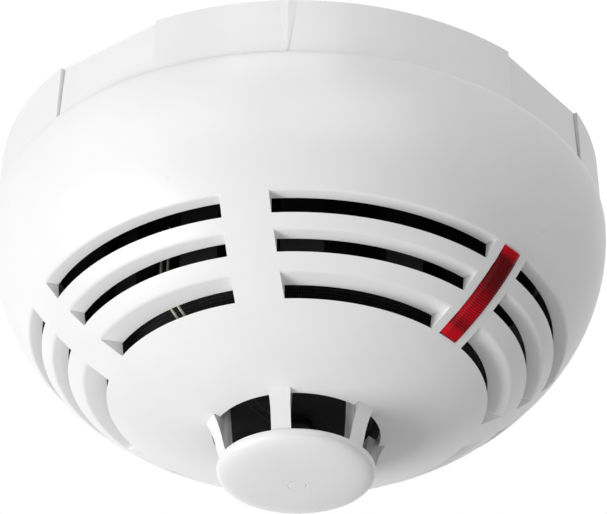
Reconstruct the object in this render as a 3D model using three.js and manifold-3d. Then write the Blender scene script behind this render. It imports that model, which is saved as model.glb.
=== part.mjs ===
// A white point-type heat detector for a ceiling: a base that is screwed up first, and a domed head
// that twists into it. Millimetres. The origin is the centre of the ceiling face, +Z points up into
// the ceiling, and the head hangs down, so every level below is negative.

import * as THREE from 'three';
import { mergeVertices } from 'three/addons/utils/BufferGeometryUtils.js';
import Module from 'manifold-3d';

const wasm = await Module();
wasm.setup();

// Clearances
const GAP = 0.3;                  // between pieces that touch
const SLACK = 0.4;                // round pieces that turn or slide past each other
const OVERRUN = 1;                // how far a cut runs past the piece it cuts

// Facets
const ROUND = 48;                 // round the large turned pieces
const SMALL_ROUND = 12;           // round screws, pins and bosses
const INNER_ROUND = 36;           // round the pieces inside the head

// Dome of the cover: half an ellipse under its widest circle
const DOME_RADIUS = 58.5;
const DOME_HEIGHT = 43.8;
const DOME_WALL = 2.2;
const DOME_STEPS = 4;             // above the louvres, and the same again below them
const SHOULDER = 1.5;             // rounding from the widest circle in to the seam
const SHOULDER_HEIGHT = 1.7;

// Louvres: three rows in six fields, each measured down from the dome's widest circle
const FIELDS = 6;
const RIB_ANGLE = -101;           // first rib, degrees from +X
const RIB_WIDTH = 8.75;
const ROWS = [
  { drop: 22.5, height: 2.9 },
  { drop: 27.5, height: 2.6 },
  { drop: 32.3, height: 2.7 },
];
const LOUVRE_INNER_RADIUS = 30;   // the cuts stop short of the nose

// Nose cage
const NOSE_RADIUS = 15.4;         // opening in the dome
const NOSE_FILLET = 2.6;
const NOSE_LIP = 0.35;            // the opening's edge turns down this far
const POST_WIDTH = 3.6;
const POST_DEPTH = 2.4;
const CAP_RADIUS = 14.5;
const NOSE_WINDOW = 6.75;         // from the opening down to the cap
const CAP_HEIGHT = 2.9;
const CAP_WALL = 1.9;
const CAP_DISH_RADIUS = 11;
const CAP_LIP = 0.6;              // upright edge of the cap
const CAP_ROUNDING = 2.2;         // how far in its rounded edge reaches

// Base
const BASE_INSET = 0.9;           // the base is this much smaller than the dome, at the ceiling
const BASE_FLARE = 0.3;           // how much wider the skirt is at its lower edge
const SKIRT_HEIGHT = 11.4;
const SKIRT_WALL = 2.1;
const PLATE = 2.2;
const FLATS = 4;
const FLAT_INSET = 1.8;           // how far each flat is set in from the base's circle
const FLAT_HALF_ANGLE = 11.25;
const QUARTER_START = 7;          // middle of the first side arc, degrees from +X
const GROOVE_WIDTH = 0.5;
const GROOVE_DEPTH = 1.0;
const MARK_ANGLE = -93;
const MARK_WIDTH = 3.2;
const MARK_HEIGHT = 0.35;
const MARK_TIP = 0.5;             // from its tip to the seam
const CABLE_OPENING_RADIUS = 17;
const CABLE_RIM_WIDTH = 1.2;
const CABLE_RIM_HEIGHT = 1;
const FIXING_SLOTS = 4;
const FIXING_SLOT_WIDTH = 4.6;
const FIXING_SLOT_START = 24;
const FIXING_SLOT_END = 37;
const POCKET_INSET = 3.8;         // shallow pockets in the ceiling face, in from the flats
const POCKET_LENGTH = 10;
const POCKET_DEPTH = 0.9;
const POCKET_RIBS = 16;
const POCKET_RIB_WIDTH = 1.6;

// Bayonet
const BAYONETS = 3;
const BAYONET_ANGLE = 7;
const TURN = 25;                  // degrees from locked to released
const COLLAR_MARGIN = 5.2;        // between the collar and the heads of the cover's screws
const COLLAR_WALL = 2.2;
const COLLAR_TOP = -3.0;
const LUG_REACH = 3.1;
const LUG_HALF_ANGLE = 10;
const LUG_TOP = -4.0;
const LUG_HEIGHT = 2.0;
const LEDGE_HEIGHT = 1.9;
const LEDGE_OVERHANG = 4;         // degrees of ledge past the lug on its leading side
const KEEPER_WALL = 2.0;
const STOP_ANGLE = 3;             // degrees that each stop takes

// Terminals
const TERMINALS = 4;
const TERMINAL_ANGLE = 52;
const TERMINAL_MARGIN = 4.3;      // between the terminals and the collar
const TERMINAL_BOSS = 10;
const TERMINAL_BOSS_HEIGHT = 2.4;
const SPRING_WIDTH = 6;
const SPRING_THICKNESS = 0.5;
const SPRING_REACH = 12;          // from the screw to the contact point
const SPRING_BOW = 2.8;           // how far the contact point hangs below the pad
const SPRING_CONTACT = 2.4;       // length of the flat contact
const SPRING_TIP = 1.8;           // length of the tip that rises beyond it
const CLAMP_SIDE = 8;
const CLAMP_THICKNESS = 1.2;
const SCREW_RADIUS = 1.5;
const SCREW_HEAD_RADIUS = 3.1;
const SCREW_HEAD_HEIGHT = 2.2;
const SCREW_SLOT_WIDTH = 0.9;
const SCREW_SLOT_DEPTH = 1.0;
const BLADE_WIDTH = 6;
const BLADE_THICKNESS = 0.8;

// Head back and board
const BACK_THICKNESS = 2.2;
const SEAT_LEDGE = 1.5;           // step in the cover that the head back sits on
const SEAT_TAPER = 4.6;           // below it the step thins out into the wall
const BOARD_MARGIN = 1.5;         // between the board and the bosses of the cover's screws
const BOARD_THICKNESS = 1.6;
const BOARD_GAP = 2.8;            // between the head back and the board
const STANDOFF_RADIUS = 2.4;
const STANDOFF_INSET = 7;         // in from the terminals
const COVER_SCREW_MARGIN = 2.8;   // between the screws' heads and the base's skirt
const COVER_SCREW_RADIUS = 1.2;
const COVER_SCREW_HEAD_RADIUS = 2.5;
const COVER_SCREW_HEAD_HEIGHT = 1.6;
const COVER_SCREW_RECESS = 1.5;   // half of the cross recess
const COVER_SCREW_LENGTH = 9;
const COVER_BOSS_RADIUS = 2.7;

// Vane cage and what is inside
const VANES = 12;
const VANE_ANGLE = -89;
const CAGE_MARGIN = 3.1;          // between the vanes and the components round them
const VANE_WIDTH = 7.7;
const VANE_THICKNESS = 1.2;
const CAGE_CLEAR = 8.42;          // from the vanes out to the dome's face, at the cage's lower rim
const CAGE_DISC = 1.5;
const CORE_MARGIN = 6.6;          // between the core and the vanes
const CORE_WALL = 1.2;
const SCREEN_THICKNESS = 0.8;
const SCREEN_RIM = 1.6;           // the screen is set in this far under the cage's rim
const SCREEN_INSET = 1.4;         // and this far in from the nose opening
const HOLDER_THICKNESS = 1.4;
const HOLDER_HUB_RADIUS = 3;
const HOLDER_HUB_HEIGHT = 1.2;

// Light bar
const LENS_RIB = 1;               // which rib carries it, counted from the first
const LENS_WIDTH = 4.3;
const LENS_PROUD = 0.35;
const LENS_OUTER_RADIUS = 50.1;
const LENS_INNER_RADIUS = 35.15;
const LENS_FLANGE = 0.9;
const GUIDE_WIDTH = 3;
const LED_RADIUS = 1.5;
const LED_HEIGHT = 3.6;

// Components and the temperature sensor
const CHIP_SIDE = 7;
const CHIP_THICKNESS = 1.2;
const CAPACITOR_RADIUS = 2.9;
const CAPACITOR_HEIGHT = 6;
const CAPACITOR_CHAMFER = 0.3;
const COMPONENT_MARGIN = 4;       // from the board's edge
const LEAD_ANGLE = -129.2;
const LEAD_RADIUS = 0.25;
const LEAD_SPACING = 1.6;
const LEAD_DROP_CLEAR = 1;        // between the leads and the vanes
const LEAD_CLEAR = 0.9;           // between the leads and the inside of the dome
const LEAD_BENDS = 4;             // where the leads follow the dome
const LEAD_TURN = 0.6;            // how far in the first of these lies
const LEAD_TUCK = 3;              // how far inside the nose opening they turn to the centre
const LEAD_STEPS = 24;
const BEAD_RADIUS = 1.2;
const BEAD_DROP = 4.95;           // from the holder's hub down to the bead's middle

// Radii that follow from the sizes above, from the rim inwards
const baseRadius = DOME_RADIUS - BASE_INSET;
const flatDistance = baseRadius - FLAT_INSET;
const pocketOuter = flatDistance - POCKET_INSET;
const backRadius = DOME_RADIUS - DOME_WALL - SLACK;
const coverScrewCircle = baseRadius - SKIRT_WALL - COVER_SCREW_MARGIN - COVER_SCREW_HEAD_RADIUS;
const boardRadius = coverScrewCircle - COVER_BOSS_RADIUS - BOARD_MARGIN;
const componentCircle = boardRadius - COMPONENT_MARGIN;
const collarRadius = coverScrewCircle - COVER_SCREW_HEAD_RADIUS - COLLAR_MARGIN;
const keeperRadius = collarRadius + LUG_REACH + SLACK;
const terminalRadius = collarRadius - COLLAR_WALL - TERMINAL_MARGIN - TERMINAL_BOSS / 2;
const standoffCircle = terminalRadius - STANDOFF_INSET;
const vaneRadius = componentCircle - CAPACITOR_RADIUS - CAGE_MARGIN;
const leadDropRadius = vaneRadius + VANE_THICKNESS / 2 + LEAD_DROP_CLEAR;
const screenOuterRadius = vaneRadius - VANE_THICKNESS / 2 - SCREEN_RIM;
const coreRadius = vaneRadius - 2 * VANE_THICKNESS - CORE_MARGIN;
const screenInnerRadius = NOSE_RADIUS - SCREEN_INSET;

// Levels that follow, from the ceiling down
const skirtBottom = -SKIRT_HEIGHT;
const coverTop = skirtBottom - GAP;
const domeLevel = coverTop - SHOULDER_HEIGHT;
const rows = ROWS.map(({ drop, height }) => ({ top: domeLevel - drop, bottom: domeLevel - drop - height }));
const [, noseLevel] = domePoint(domeAngle(NOSE_RADIUS));
const capTop = noseLevel - NOSE_WINDOW;
const capBottom = capTop - CAP_HEIGHT;
const backTop = coverTop - GAP;
const backBottom = backTop - BACK_THICKNESS;
const boardTop = backBottom - BOARD_GAP;
const boardBottom = boardTop - BOARD_THICKNESS;
const cageTop = boardBottom - GAP;
const vaneTop = cageTop - CAGE_DISC;
const lugBottom = LUG_TOP - LUG_HEIGHT;
const ledgeTop = lugBottom - GAP;
const ledgeBottom = ledgeTop - LEDGE_HEIGHT;
const bossBottom = -PLATE - TERMINAL_BOSS_HEIGHT;
const springTop = bossBottom - GAP;
const clampTop = springTop - SPRING_THICKNESS - GAP;
const screwHeadTop = clampTop - CLAMP_THICKNESS - GAP;
const contactLevel = springTop - SPRING_THICKNESS - SPRING_BOW;
const bladeRadius = Math.hypot(terminalRadius, SPRING_REACH);
const bladeAngle = TERMINAL_ANGLE - degrees(Math.atan2(SPRING_REACH, terminalRadius));
const [, cageBottom] = domePoint(domeAngle(vaneRadius + CAGE_CLEAR));
const vaneBottom = cageBottom + CAGE_DISC;
const screenTop = cageBottom - GAP;
const holderBottom = noseLevel + DOME_WALL;
const holderTop = holderBottom + HOLDER_THICKNESS;
const screenBottom = holderTop + GAP;
const hubBottom = holderBottom - HOLDER_HUB_HEIGHT;
const beadLevel = hubBottom - BEAD_DROP;

const COLOURS = {
  cover: { color: 0xf1f1f2, roughness: 0.35, metalness: 0 },
  base: { color: 0xeeeeef, roughness: 0.4, metalness: 0 },
  back: { color: 0xe4e4e6, roughness: 0.5, metalness: 0 },
  black: { color: 0x141416, roughness: 0.6, metalness: 0 },
  screen: { color: 0x2a2a2d, roughness: 0.45, metalness: 0.4 },
  red: { color: 0xb01420, roughness: 0.2, metalness: 0 },
  brass: { color: 0xc9a04a, roughness: 0.35, metalness: 1 },
  steel: { color: 0xb9bcc0, roughness: 0.35, metalness: 1 },
  board: { color: 0x1d5a34, roughness: 0.5, metalness: 0 },
  glass: { color: 0x6a2320, roughness: 0.25, metalness: 0 },
};

// Small helpers

function radians(angle) {
  return THREE.MathUtils.degToRad(angle);
}

function degrees(angle) {
  return THREE.MathUtils.radToDeg(angle);
}

function toSolid(geometry) {
  const bare = geometry.clone();
  bare.deleteAttribute('normal');
  bare.deleteAttribute('uv');
  const merged = mergeVertices(bare);
  const index = merged.index.array;
  const kept = [];
  for (let i = 0; i < index.length; i += 3) {
    const [a, b, c] = index.slice(i, i + 3);
    if (a !== b && b !== c && c !== a) {
      kept.push(a, b, c);
    }
  }
  return new wasm.Manifold(new wasm.Mesh({
    numProp: 3,
    vertProperties: new Float32Array(merged.attributes.position.array),
    triVerts: new Uint32Array(kept),
  }));
}

function toGeometry(solid) {
  const mesh = solid.getMesh();
  const geometry = new THREE.BufferGeometry();
  geometry.setAttribute('position', new THREE.BufferAttribute(mesh.vertProperties, 3));
  geometry.setIndex(new THREE.BufferAttribute(mesh.triVerts, 1));
  return geometry;
}

function join(...geometries) {
  return toGeometry(geometries.map(toSolid).reduce((sum, solid) => sum.add(solid)));
}

function cut(geometry, ...tools) {
  return toGeometry(tools.map(toSolid).reduce((rest, tool) => rest.subtract(tool), toSolid(geometry)));
}

function common(first, second) {
  return toGeometry(toSolid(first).intersect(toSolid(second)));
}

// A solid turned about Z from a closed outline of [radius, level] points
function turned(outline, segments = ROUND) {
  const area = outline.reduce((sum, [r, z], i) => {
    const [nextR, nextZ] = outline[(i + 1) % outline.length];
    return sum + r * nextZ - nextR * z;
  }, 0);
  const ordered = area > 0 ? outline : [...outline].reverse();
  const closed = [...ordered, ordered[0]];
  const geometry = new THREE.LatheGeometry(closed.map(([r, z]) => new THREE.Vector2(r, z)), segments);
  return geometry.rotateX(Math.PI / 2);
}

function ring(inner, outer, bottom, top, segments = ROUND) {
  return turned([[inner, bottom], [outer, bottom], [outer, top], [inner, top]], segments);
}

function disc(radius, bottom, top, segments = SMALL_ROUND) {
  return new THREE.CylinderGeometry(radius, radius, top - bottom, segments)
    .rotateX(Math.PI / 2)
    .translate(0, 0, (top + bottom) / 2);
}

function block(x0, x1, y0, y1, bottom, top) {
  return new THREE.BoxGeometry(x1 - x0, y1 - y0, top - bottom)
    .translate((x0 + x1) / 2, (y0 + y1) / 2, (bottom + top) / 2);
}

function outlineShape(points) {
  return new THREE.Shape(points.map(([x, y]) => new THREE.Vector2(x, y)));
}

// A plate whose outline is drawn in the radius and level plane, as thick as width across it
function radialPlate(points, width) {
  return new THREE.ExtrudeGeometry(outlineShape(points), { depth: width, bevelEnabled: false })
    .translate(0, 0, -width / 2)
    .rotateX(Math.PI / 2);
}

// A flat sector between two radii and two angles, from bottom to top
function sector(inner, outer, from, to, bottom, top, steps = 5) {
  const outside = [];
  const inside = [];
  for (let i = 0; i <= steps; i += 1) {
    const angle = radians(from + (to - from) * i / steps);
    outside.push([outer * Math.cos(angle), outer * Math.sin(angle)]);
    inside.unshift([inner * Math.cos(angle), inner * Math.sin(angle)]);
  }
  const shape = outlineShape([...outside, ...inside]);
  return new THREE.ExtrudeGeometry(shape, { depth: top - bottom, bevelEnabled: false })
    .translate(0, 0, bottom);
}

function around(count, start, make) {
  return Array.from({ length: count }, (_, i) => make(i).rotateZ(radians(start + 360 * i / count)));
}

// Point of the dome's outer ellipse, set back by depth along its normal
function domePoint(angle, depth = 0) {
  const across = Math.cos(angle) / DOME_RADIUS;
  const down = Math.sin(angle) / DOME_HEIGHT;
  const length = Math.hypot(across, down);
  return [
    DOME_RADIUS * Math.cos(angle) - depth * across / length,
    domeLevel - DOME_HEIGHT * Math.sin(angle) + depth * down / length,
  ];
}

function domeAngle(radius) {
  return Math.acos(radius / DOME_RADIUS);
}

function domeArc(fromAngle, toAngle, depth, steps) {
  return Array.from({ length: steps + 1 }, (_, i) =>
    domePoint(fromAngle + (toAngle - fromAngle) * i / steps, depth));
}

// Angle at which the dome, set back by depth, comes down to a level
function domeAngleAt(level, depth) {
  let above = 0;
  let below = Math.PI / 2;
  for (let i = 0; i < 40; i += 1) {
    const middle = (above + below) / 2;
    if (domePoint(middle, depth)[1] > level) {
      above = middle;
    } else {
      below = middle;
    }
  }
  return above;
}

// Profile of the dome with a point at each edge of each louvre row, so the cuts meet its facets
function domeProfile(startAngle, endAngle, depth) {
  const edges = rows.flatMap(({ top, bottom }) => [top, bottom].map((level) =>
    [domePoint(domeAngleAt(level, depth), depth)[0], level]));
  const firstRow = domeAngleAt(rows[0].top, depth);
  const lastRow = domeAngleAt(rows.at(-1).bottom, depth);
  return [
    ...domeArc(startAngle, firstRow, depth, DOME_STEPS).slice(0, -1),
    ...edges,
    ...domeArc(lastRow, endAngle, depth, DOME_STEPS).slice(1),
  ];
}

// The white cover

function coverShell() {
  const noseStart = domeAngle(NOSE_RADIUS + NOSE_FILLET);
  const shoulder = Array.from({ length: 3 }, (_, i) => {
    const angle = Math.PI / 2 * (1 - i / 3);
    return [
      DOME_RADIUS - SHOULDER + SHOULDER * Math.cos(angle),
      domeLevel + (coverTop - domeLevel) * Math.sin(angle),
    ];
  });
  const outside = domeProfile(0, noseStart, 0);
  const seatRadius = backRadius + SLACK;
  const seatLevel = backBottom - GAP;
  const ledgeRadius = seatRadius - SEAT_LEDGE;
  const taperEnd = domeAngleAt(seatLevel - SEAT_LEDGE - SEAT_TAPER, DOME_WALL);
  const noseInside = domeAngle(NOSE_RADIUS + 1.5 * NOSE_FILLET);
  const inside = domeProfile(taperEnd, noseInside, DOME_WALL).reverse();
  return turned([
    [seatRadius, coverTop],
    ...shoulder,
    ...outside,
    [NOSE_RADIUS, noseLevel - NOSE_LIP],
    [NOSE_RADIUS, noseLevel + DOME_WALL],
    ...inside,
    [ledgeRadius, seatLevel - SEAT_LEDGE],
    [ledgeRadius, seatLevel],
    [seatRadius, seatLevel],
  ]);
}

function louvreCuts() {
  const ribs = around(FIELDS, RIB_ANGLE, () =>
    block(0, DOME_RADIUS + GAP, -RIB_WIDTH / 2, RIB_WIDTH / 2, capBottom, 0));
  return rows.map(({ top, bottom }) => cut(ring(LOUVRE_INNER_RADIUS, DOME_RADIUS, bottom, top), ...ribs));
}

function nosePost() {
  const foot = NOSE_RADIUS + NOSE_FILLET;
  const [, footLevel] = domePoint(domeAngle(foot));
  const outer = new THREE.QuadraticBezierCurve(
    new THREE.Vector2(foot, footLevel + DOME_WALL / 4),
    new THREE.Vector2(NOSE_RADIUS + GAP, noseLevel - GAP),
    new THREE.Vector2(CAP_RADIUS - GAP, capTop - GAP),
  ).getPoints(6).map((p) => [p.x, p.y]);
  return radialPlate([
    [foot, footLevel + DOME_WALL / 2],
    ...outer,
    [CAP_RADIUS - GAP - POST_DEPTH, capTop - GAP],
    [NOSE_RADIUS - POST_DEPTH / 2, noseLevel + DOME_WALL / 2],
  ], POST_WIDTH);
}

function noseCap() {
  const face = new THREE.CubicBezierCurve(
    new THREE.Vector2(CAP_RADIUS, capTop - CAP_LIP),
    new THREE.Vector2(CAP_RADIUS, capBottom + CAP_LIP),
    new THREE.Vector2(CAP_RADIUS - CAP_ROUNDING, capBottom),
    new THREE.Vector2(0, capBottom),
  ).getPoints(6).map((p) => [p.x, p.y]);
  return turned([
    [0, capBottom + CAP_WALL],
    [CAP_DISH_RADIUS, capBottom + CAP_WALL],
    [CAP_DISH_RADIUS, capTop],
    [CAP_RADIUS - GAP, capTop],
    ...face,
  ], INNER_ROUND);
}

// Bosses for the cover's screws, hidden behind every second rib and trimmed to the dome's wall
function coverBosses() {
  const depth = DOME_WALL / 2;
  const top = backBottom - GAP;
  const upper = Math.asin((domeLevel - top) / DOME_HEIGHT);
  const lower = domeAngle(coverScrewCircle - 2 * COVER_BOSS_RADIUS);
  const [, lowLevel] = domePoint(lower, depth);
  const within = turned([[0, top], ...domeArc(upper, lower, depth, 2 * DOME_STEPS), [0, lowLevel]]);
  const screwEnd = backBottom - COVER_SCREW_LENGTH - OVERRUN;
  return around(BAYONETS, RIB_ANGLE, () => cut(
    common(disc(COVER_BOSS_RADIUS, lowLevel, top).translate(coverScrewCircle, 0, 0), within),
    disc(COVER_SCREW_RADIUS + GAP, screwEnd, backBottom).translate(coverScrewCircle, 0, 0),
  ));
}

// Band of the dome between two radii, from proud of its face to behind it, as wide as width
function domeBand(outerRadius, innerRadius, proud, depth, width) {
  const from = domeAngle(outerRadius);
  const to = domeAngle(innerRadius);
  const steps = 2 * DOME_STEPS;
  return radialPlate([...domeArc(from, to, -proud, steps), ...domeArc(to, from, depth, steps)], width);
}

function lensAngle() {
  return radians(RIB_ANGLE + 360 / FIELDS * LENS_RIB);
}

function outerCover() {
  const lensSlot = domeBand(
    LENS_OUTER_RADIUS + GAP,
    LENS_INNER_RADIUS - GAP,
    LENS_PROUD + GAP,
    DOME_WALL + GAP,
    LENS_WIDTH + 2 * GAP,
  ).rotateZ(lensAngle());
  const body = join(coverShell(), ...around(FIELDS, RIB_ANGLE, nosePost), noseCap(), ...coverBosses());
  return cut(body, ...louvreCuts(), lensSlot);
}

function indicatorLens() {
  const bar = domeBand(LENS_OUTER_RADIUS, LENS_INNER_RADIUS, LENS_PROUD, DOME_WALL + GAP, LENS_WIDTH);
  const flange = domeBand(
    LENS_OUTER_RADIUS + LENS_FLANGE,
    LENS_INNER_RADIUS - LENS_FLANGE,
    -DOME_WALL - GAP,
    DOME_WALL + GAP + LENS_FLANGE,
    LENS_WIDTH + 2 * LENS_FLANGE,
  );
  const [, guideLevel] = domePoint(domeAngle(componentCircle), DOME_WALL + LENS_FLANGE);
  const guideTop = boardBottom - GAP - LED_HEIGHT - GAP;
  const guide = block(
    componentCircle - GUIDE_WIDTH / 2,
    componentCircle + GUIDE_WIDTH / 2,
    -GUIDE_WIDTH / 2,
    GUIDE_WIDTH / 2,
    guideLevel,
    guideTop,
  );
  return join(bar, flange, guide).rotateZ(lensAngle());
}

// The base on the ceiling

function baseShell() {
  const lowRadius = baseRadius + BASE_FLARE;
  const wallInner = baseRadius - SKIRT_WALL;
  const flatHalfWidth = flatDistance * Math.tan(radians(FLAT_HALF_ANGLE));
  const flatStart = QUARTER_START + 180 / FLATS;
  const rimLevel = -PLATE - CABLE_RIM_HEIGHT;
  const skirt = turned([
    [wallInner, -PLATE],
    [wallInner, skirtBottom],
    [lowRadius, skirtBottom],
    [baseRadius, 0],
    [CABLE_OPENING_RADIUS, 0],
    [CABLE_OPENING_RADIUS, rimLevel],
    [CABLE_OPENING_RADIUS + CABLE_RIM_WIDTH, rimLevel],
    [CABLE_OPENING_RADIUS + CABLE_RIM_WIDTH, -PLATE],
  ]);
  const padHalf = flatHalfWidth + SKIRT_WALL;
  const pads = around(FLATS, flatStart, () => common(
    block(flatDistance - SKIRT_WALL, baseRadius, -padHalf, padHalf, skirtBottom, -PLATE / 2),
    disc(baseRadius - SKIRT_WALL / 2, skirtBottom, 0, ROUND),
  ));
  const flats = around(FLATS, flatStart, () => block(
    flatDistance,
    lowRadius + OVERRUN,
    -flatHalfWidth,
    flatHalfWidth,
    skirtBottom - OVERRUN,
    OVERRUN,
  ));
  const keeper = ring(keeperRadius, keeperRadius + KEEPER_WALL, ledgeBottom, -PLATE / 2);
  const fixingSlots = around(FIXING_SLOTS, QUARTER_START, fixingSlot);
  const bossHoles = around(TERMINALS, TERMINAL_ANGLE, () =>
    disc(SCREW_RADIUS + SLACK, bossBottom - OVERRUN, -PLATE / 2).translate(terminalRadius, 0, 0));
  const bosses = around(TERMINALS, TERMINAL_ANGLE, () => block(
    terminalRadius - TERMINAL_BOSS / 2,
    terminalRadius + TERMINAL_BOSS / 2,
    -TERMINAL_BOSS / 2,
    TERMINAL_BOSS / 2,
    bossBottom,
    -PLATE / 2,
  ));
  const body = join(skirt, ...pads, keeper, ...bosses, ...ledges(), ...stops(), alignmentMark());
  return cut(body, ...flats, ...grooves(flatHalfWidth), ...fixingSlots, ...bossHoles, ...pockets());
}

function fixingSlot() {
  const half = FIXING_SLOT_WIDTH / 2;
  const start = FIXING_SLOT_START + half;
  const end = FIXING_SLOT_END - half;
  const shape = new THREE.Shape();
  shape.moveTo(start, -half);
  shape.lineTo(end, -half);
  shape.absarc(end, 0, half, -Math.PI / 2, Math.PI / 2, false);
  shape.lineTo(start, half);
  shape.absarc(start, 0, half, Math.PI / 2, 3 * Math.PI / 2, false);
  const depth = PLATE + 2 * OVERRUN;
  return new THREE.ExtrudeGeometry(shape, { depth, bevelEnabled: false, curveSegments: SMALL_ROUND / 2 })
    .translate(0, 0, -PLATE - OVERRUN);
}

// A raised wedge on the skirt, wide at the ceiling, that shows where the head's mark must stop
function alignmentMark() {
  const half = MARK_WIDTH / 2;
  const start = baseRadius - SKIRT_WALL / 2;
  const shape = outlineShape([[-half, 0], [0, skirtBottom + MARK_TIP], [half, 0]]);
  return new THREE.ExtrudeGeometry(shape, { depth: baseRadius + MARK_HEIGHT - start, bevelEnabled: false })
    .rotateX(Math.PI / 2)
    .rotateZ(Math.PI / 2)
    .translate(start, 0, 0)
    .rotateZ(radians(MARK_ANGLE));
}

// Two side arcs end in a narrow upright groove beside each flat
function grooves(flatHalfWidth) {
  const edge = degrees(Math.atan2(flatHalfWidth, flatDistance));
  const made = [];
  for (const side of [0, 180]) {
    for (const sign of [-1, 1]) {
      const angle = QUARTER_START + side + sign * (180 / FLATS - edge);
      made.push(block(
        flatDistance - GROOVE_DEPTH,
        baseRadius + 2 * OVERRUN,
        -GROOVE_WIDTH / 2,
        GROOVE_WIDTH / 2,
        skirtBottom - OVERRUN,
        OVERRUN,
      ).rotateZ(radians(angle)));
    }
  }
  return made;
}

function pockets() {
  const step = 360 / POCKET_RIBS;
  const pocketInner = pocketOuter - POCKET_LENGTH;
  const middle = (pocketInner + pocketOuter) / 2;
  const half = step / 2 - degrees(POCKET_RIB_WIDTH / 2 / middle);
  return around(POCKET_RIBS, QUARTER_START + step / 2, () =>
    sector(pocketInner, pocketOuter, -half, half, -POCKET_DEPTH, OVERRUN, 3));
}

function ledges() {
  const inner = collarRadius + SLACK;
  const from = -LUG_HALF_ANGLE - LEDGE_OVERHANG;
  const to = LUG_HALF_ANGLE + STOP_ANGLE;
  return around(BAYONETS, BAYONET_ANGLE, () =>
    sector(inner, keeperRadius + KEEPER_WALL / 2, from, to, ledgeBottom, ledgeTop));
}

// Upright stops: one that the lug meets when it is locked, one where it is released
function stops() {
  const inner = collarRadius + SLACK;
  const margin = degrees(SLACK / collarRadius);
  const locked = LUG_HALF_ANGLE + margin;
  const released = -LUG_HALF_ANGLE - TURN - margin;
  const outer = keeperRadius + KEEPER_WALL / 2;
  return around(BAYONETS, BAYONET_ANGLE, () => join(
    sector(inner, outer, locked, locked + STOP_ANGLE, ledgeTop - LEDGE_HEIGHT / 2, -PLATE / 2, 2),
    sector(inner, outer, released - STOP_ANGLE, released, ledgeBottom, -PLATE / 2, 2),
  ));
}

// Terminals, each drawn on +X and then turned to its place

function contactSpring() {
  const half = SPRING_THICKNESS / 2;
  const pad = springTop - half;
  const tip = contactLevel + half;
  const padEnd = CLAMP_SIDE / 2 + SLACK;
  const line = [
    [-TERMINAL_BOSS / 2, pad],
    [padEnd, pad],
    [SPRING_REACH - SPRING_CONTACT / 2, tip],
    [SPRING_REACH + SPRING_CONTACT / 2, tip],
    [SPRING_REACH + SPRING_CONTACT / 2 + SPRING_TIP, tip + SPRING_TIP / 2],
  ];
  const upper = line.map(([s, z]) => [s, z + half]);
  const lower = line.map(([s, z]) => [s, z - half]).reverse();
  const strip = radialPlate([...upper, ...lower], SPRING_WIDTH)
    .rotateZ(-Math.PI / 2)
    .translate(terminalRadius, 0, 0);
  const hole = disc(SCREW_RADIUS + SLACK, contactLevel, 0).translate(terminalRadius, 0, 0);
  return cut(strip, hole);
}

function terminalClamp() {
  const half = CLAMP_SIDE / 2;
  const bottom = clampTop - CLAMP_THICKNESS;
  const plate = block(-half, half, -half, half, bottom, clampTop);
  const over = half + OVERRUN;
  const groove = block(-over, over, -SCREW_RADIUS, SCREW_RADIUS, clampTop - GAP, clampTop + OVERRUN);
  const hole = disc(SCREW_RADIUS + GAP, bottom - OVERRUN, clampTop + OVERRUN);
  return cut(plate, groove, hole).translate(terminalRadius, 0, 0);
}

function terminalScrew() {
  const bottom = screwHeadTop - SCREW_HEAD_HEIGHT;
  const chamfer = SCREW_HEAD_HEIGHT / 4;
  const tip = -PLATE - GAP;
  const body = turned([
    [0, bottom],
    [SCREW_HEAD_RADIUS - chamfer, bottom],
    [SCREW_HEAD_RADIUS, bottom + chamfer],
    [SCREW_HEAD_RADIUS, screwHeadTop],
    [SCREW_RADIUS, screwHeadTop],
    [SCREW_RADIUS, tip - SCREW_RADIUS / 2],
    [SCREW_RADIUS / 2, tip],
    [0, tip],
  ], SMALL_ROUND);
  const half = SCREW_SLOT_WIDTH / 2;
  const slotTop = bottom + SCREW_SLOT_DEPTH;
  const low = bottom - OVERRUN;
  const over = SCREW_HEAD_RADIUS + OVERRUN;
  const slot = block(-over, over, -half, half, low, slotTop);
  const cross = block(-half, half, -SCREW_HEAD_RADIUS / 2, SCREW_HEAD_RADIUS / 2, low, slotTop);
  return cut(body, slot, cross).translate(terminalRadius, 0, 0);
}

function bladeOutline(clearance) {
  return {
    x0: bladeRadius - BLADE_WIDTH / 2 - clearance,
    x1: bladeRadius + BLADE_WIDTH / 2 + clearance,
    y0: -BLADE_THICKNESS / 2 - clearance,
    y1: BLADE_THICKNESS / 2 + clearance,
  };
}

function contactBlade() {
  const { x0, x1, y0, y1 } = bladeOutline(0);
  const top = contactLevel - GAP;
  const corner = BLADE_WIDTH / 5;
  const tongue = radialPlate([
    [x0, boardTop + GAP],
    [x1, boardTop + GAP],
    [x1, top - corner],
    [x1 - corner, top],
    [x0 + corner, top],
    [x0, top - corner],
  ], y1 - y0);
  const foot = block(x0, x1, y0, y1 + BLADE_THICKNESS * 2, boardTop + GAP, boardTop + GAP + BLADE_THICKNESS);
  return join(tongue, foot);
}

// The head back and what it carries

function headBack() {
  const plate = disc(backRadius, backBottom, backTop, ROUND);
  const standoffs = around(BAYONETS, RIB_ANGLE, () =>
    disc(STANDOFF_RADIUS, boardTop + GAP, backBottom + BACK_THICKNESS / 2).translate(standoffCircle, 0, 0));
  const { x0, x1, y0, y1 } = bladeOutline(GAP);
  const low = backBottom - OVERRUN;
  const high = backTop + OVERRUN;
  const bladeSlots = around(TERMINALS, bladeAngle, () => block(x0, x1, y0, y1, low, high));
  const screwHoles = around(BAYONETS, RIB_ANGLE, () =>
    disc(COVER_SCREW_RADIUS + GAP, low, high).translate(coverScrewCircle, 0, 0));
  return cut(join(plate, ...standoffs), ...bladeSlots, ...screwHoles);
}

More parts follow.
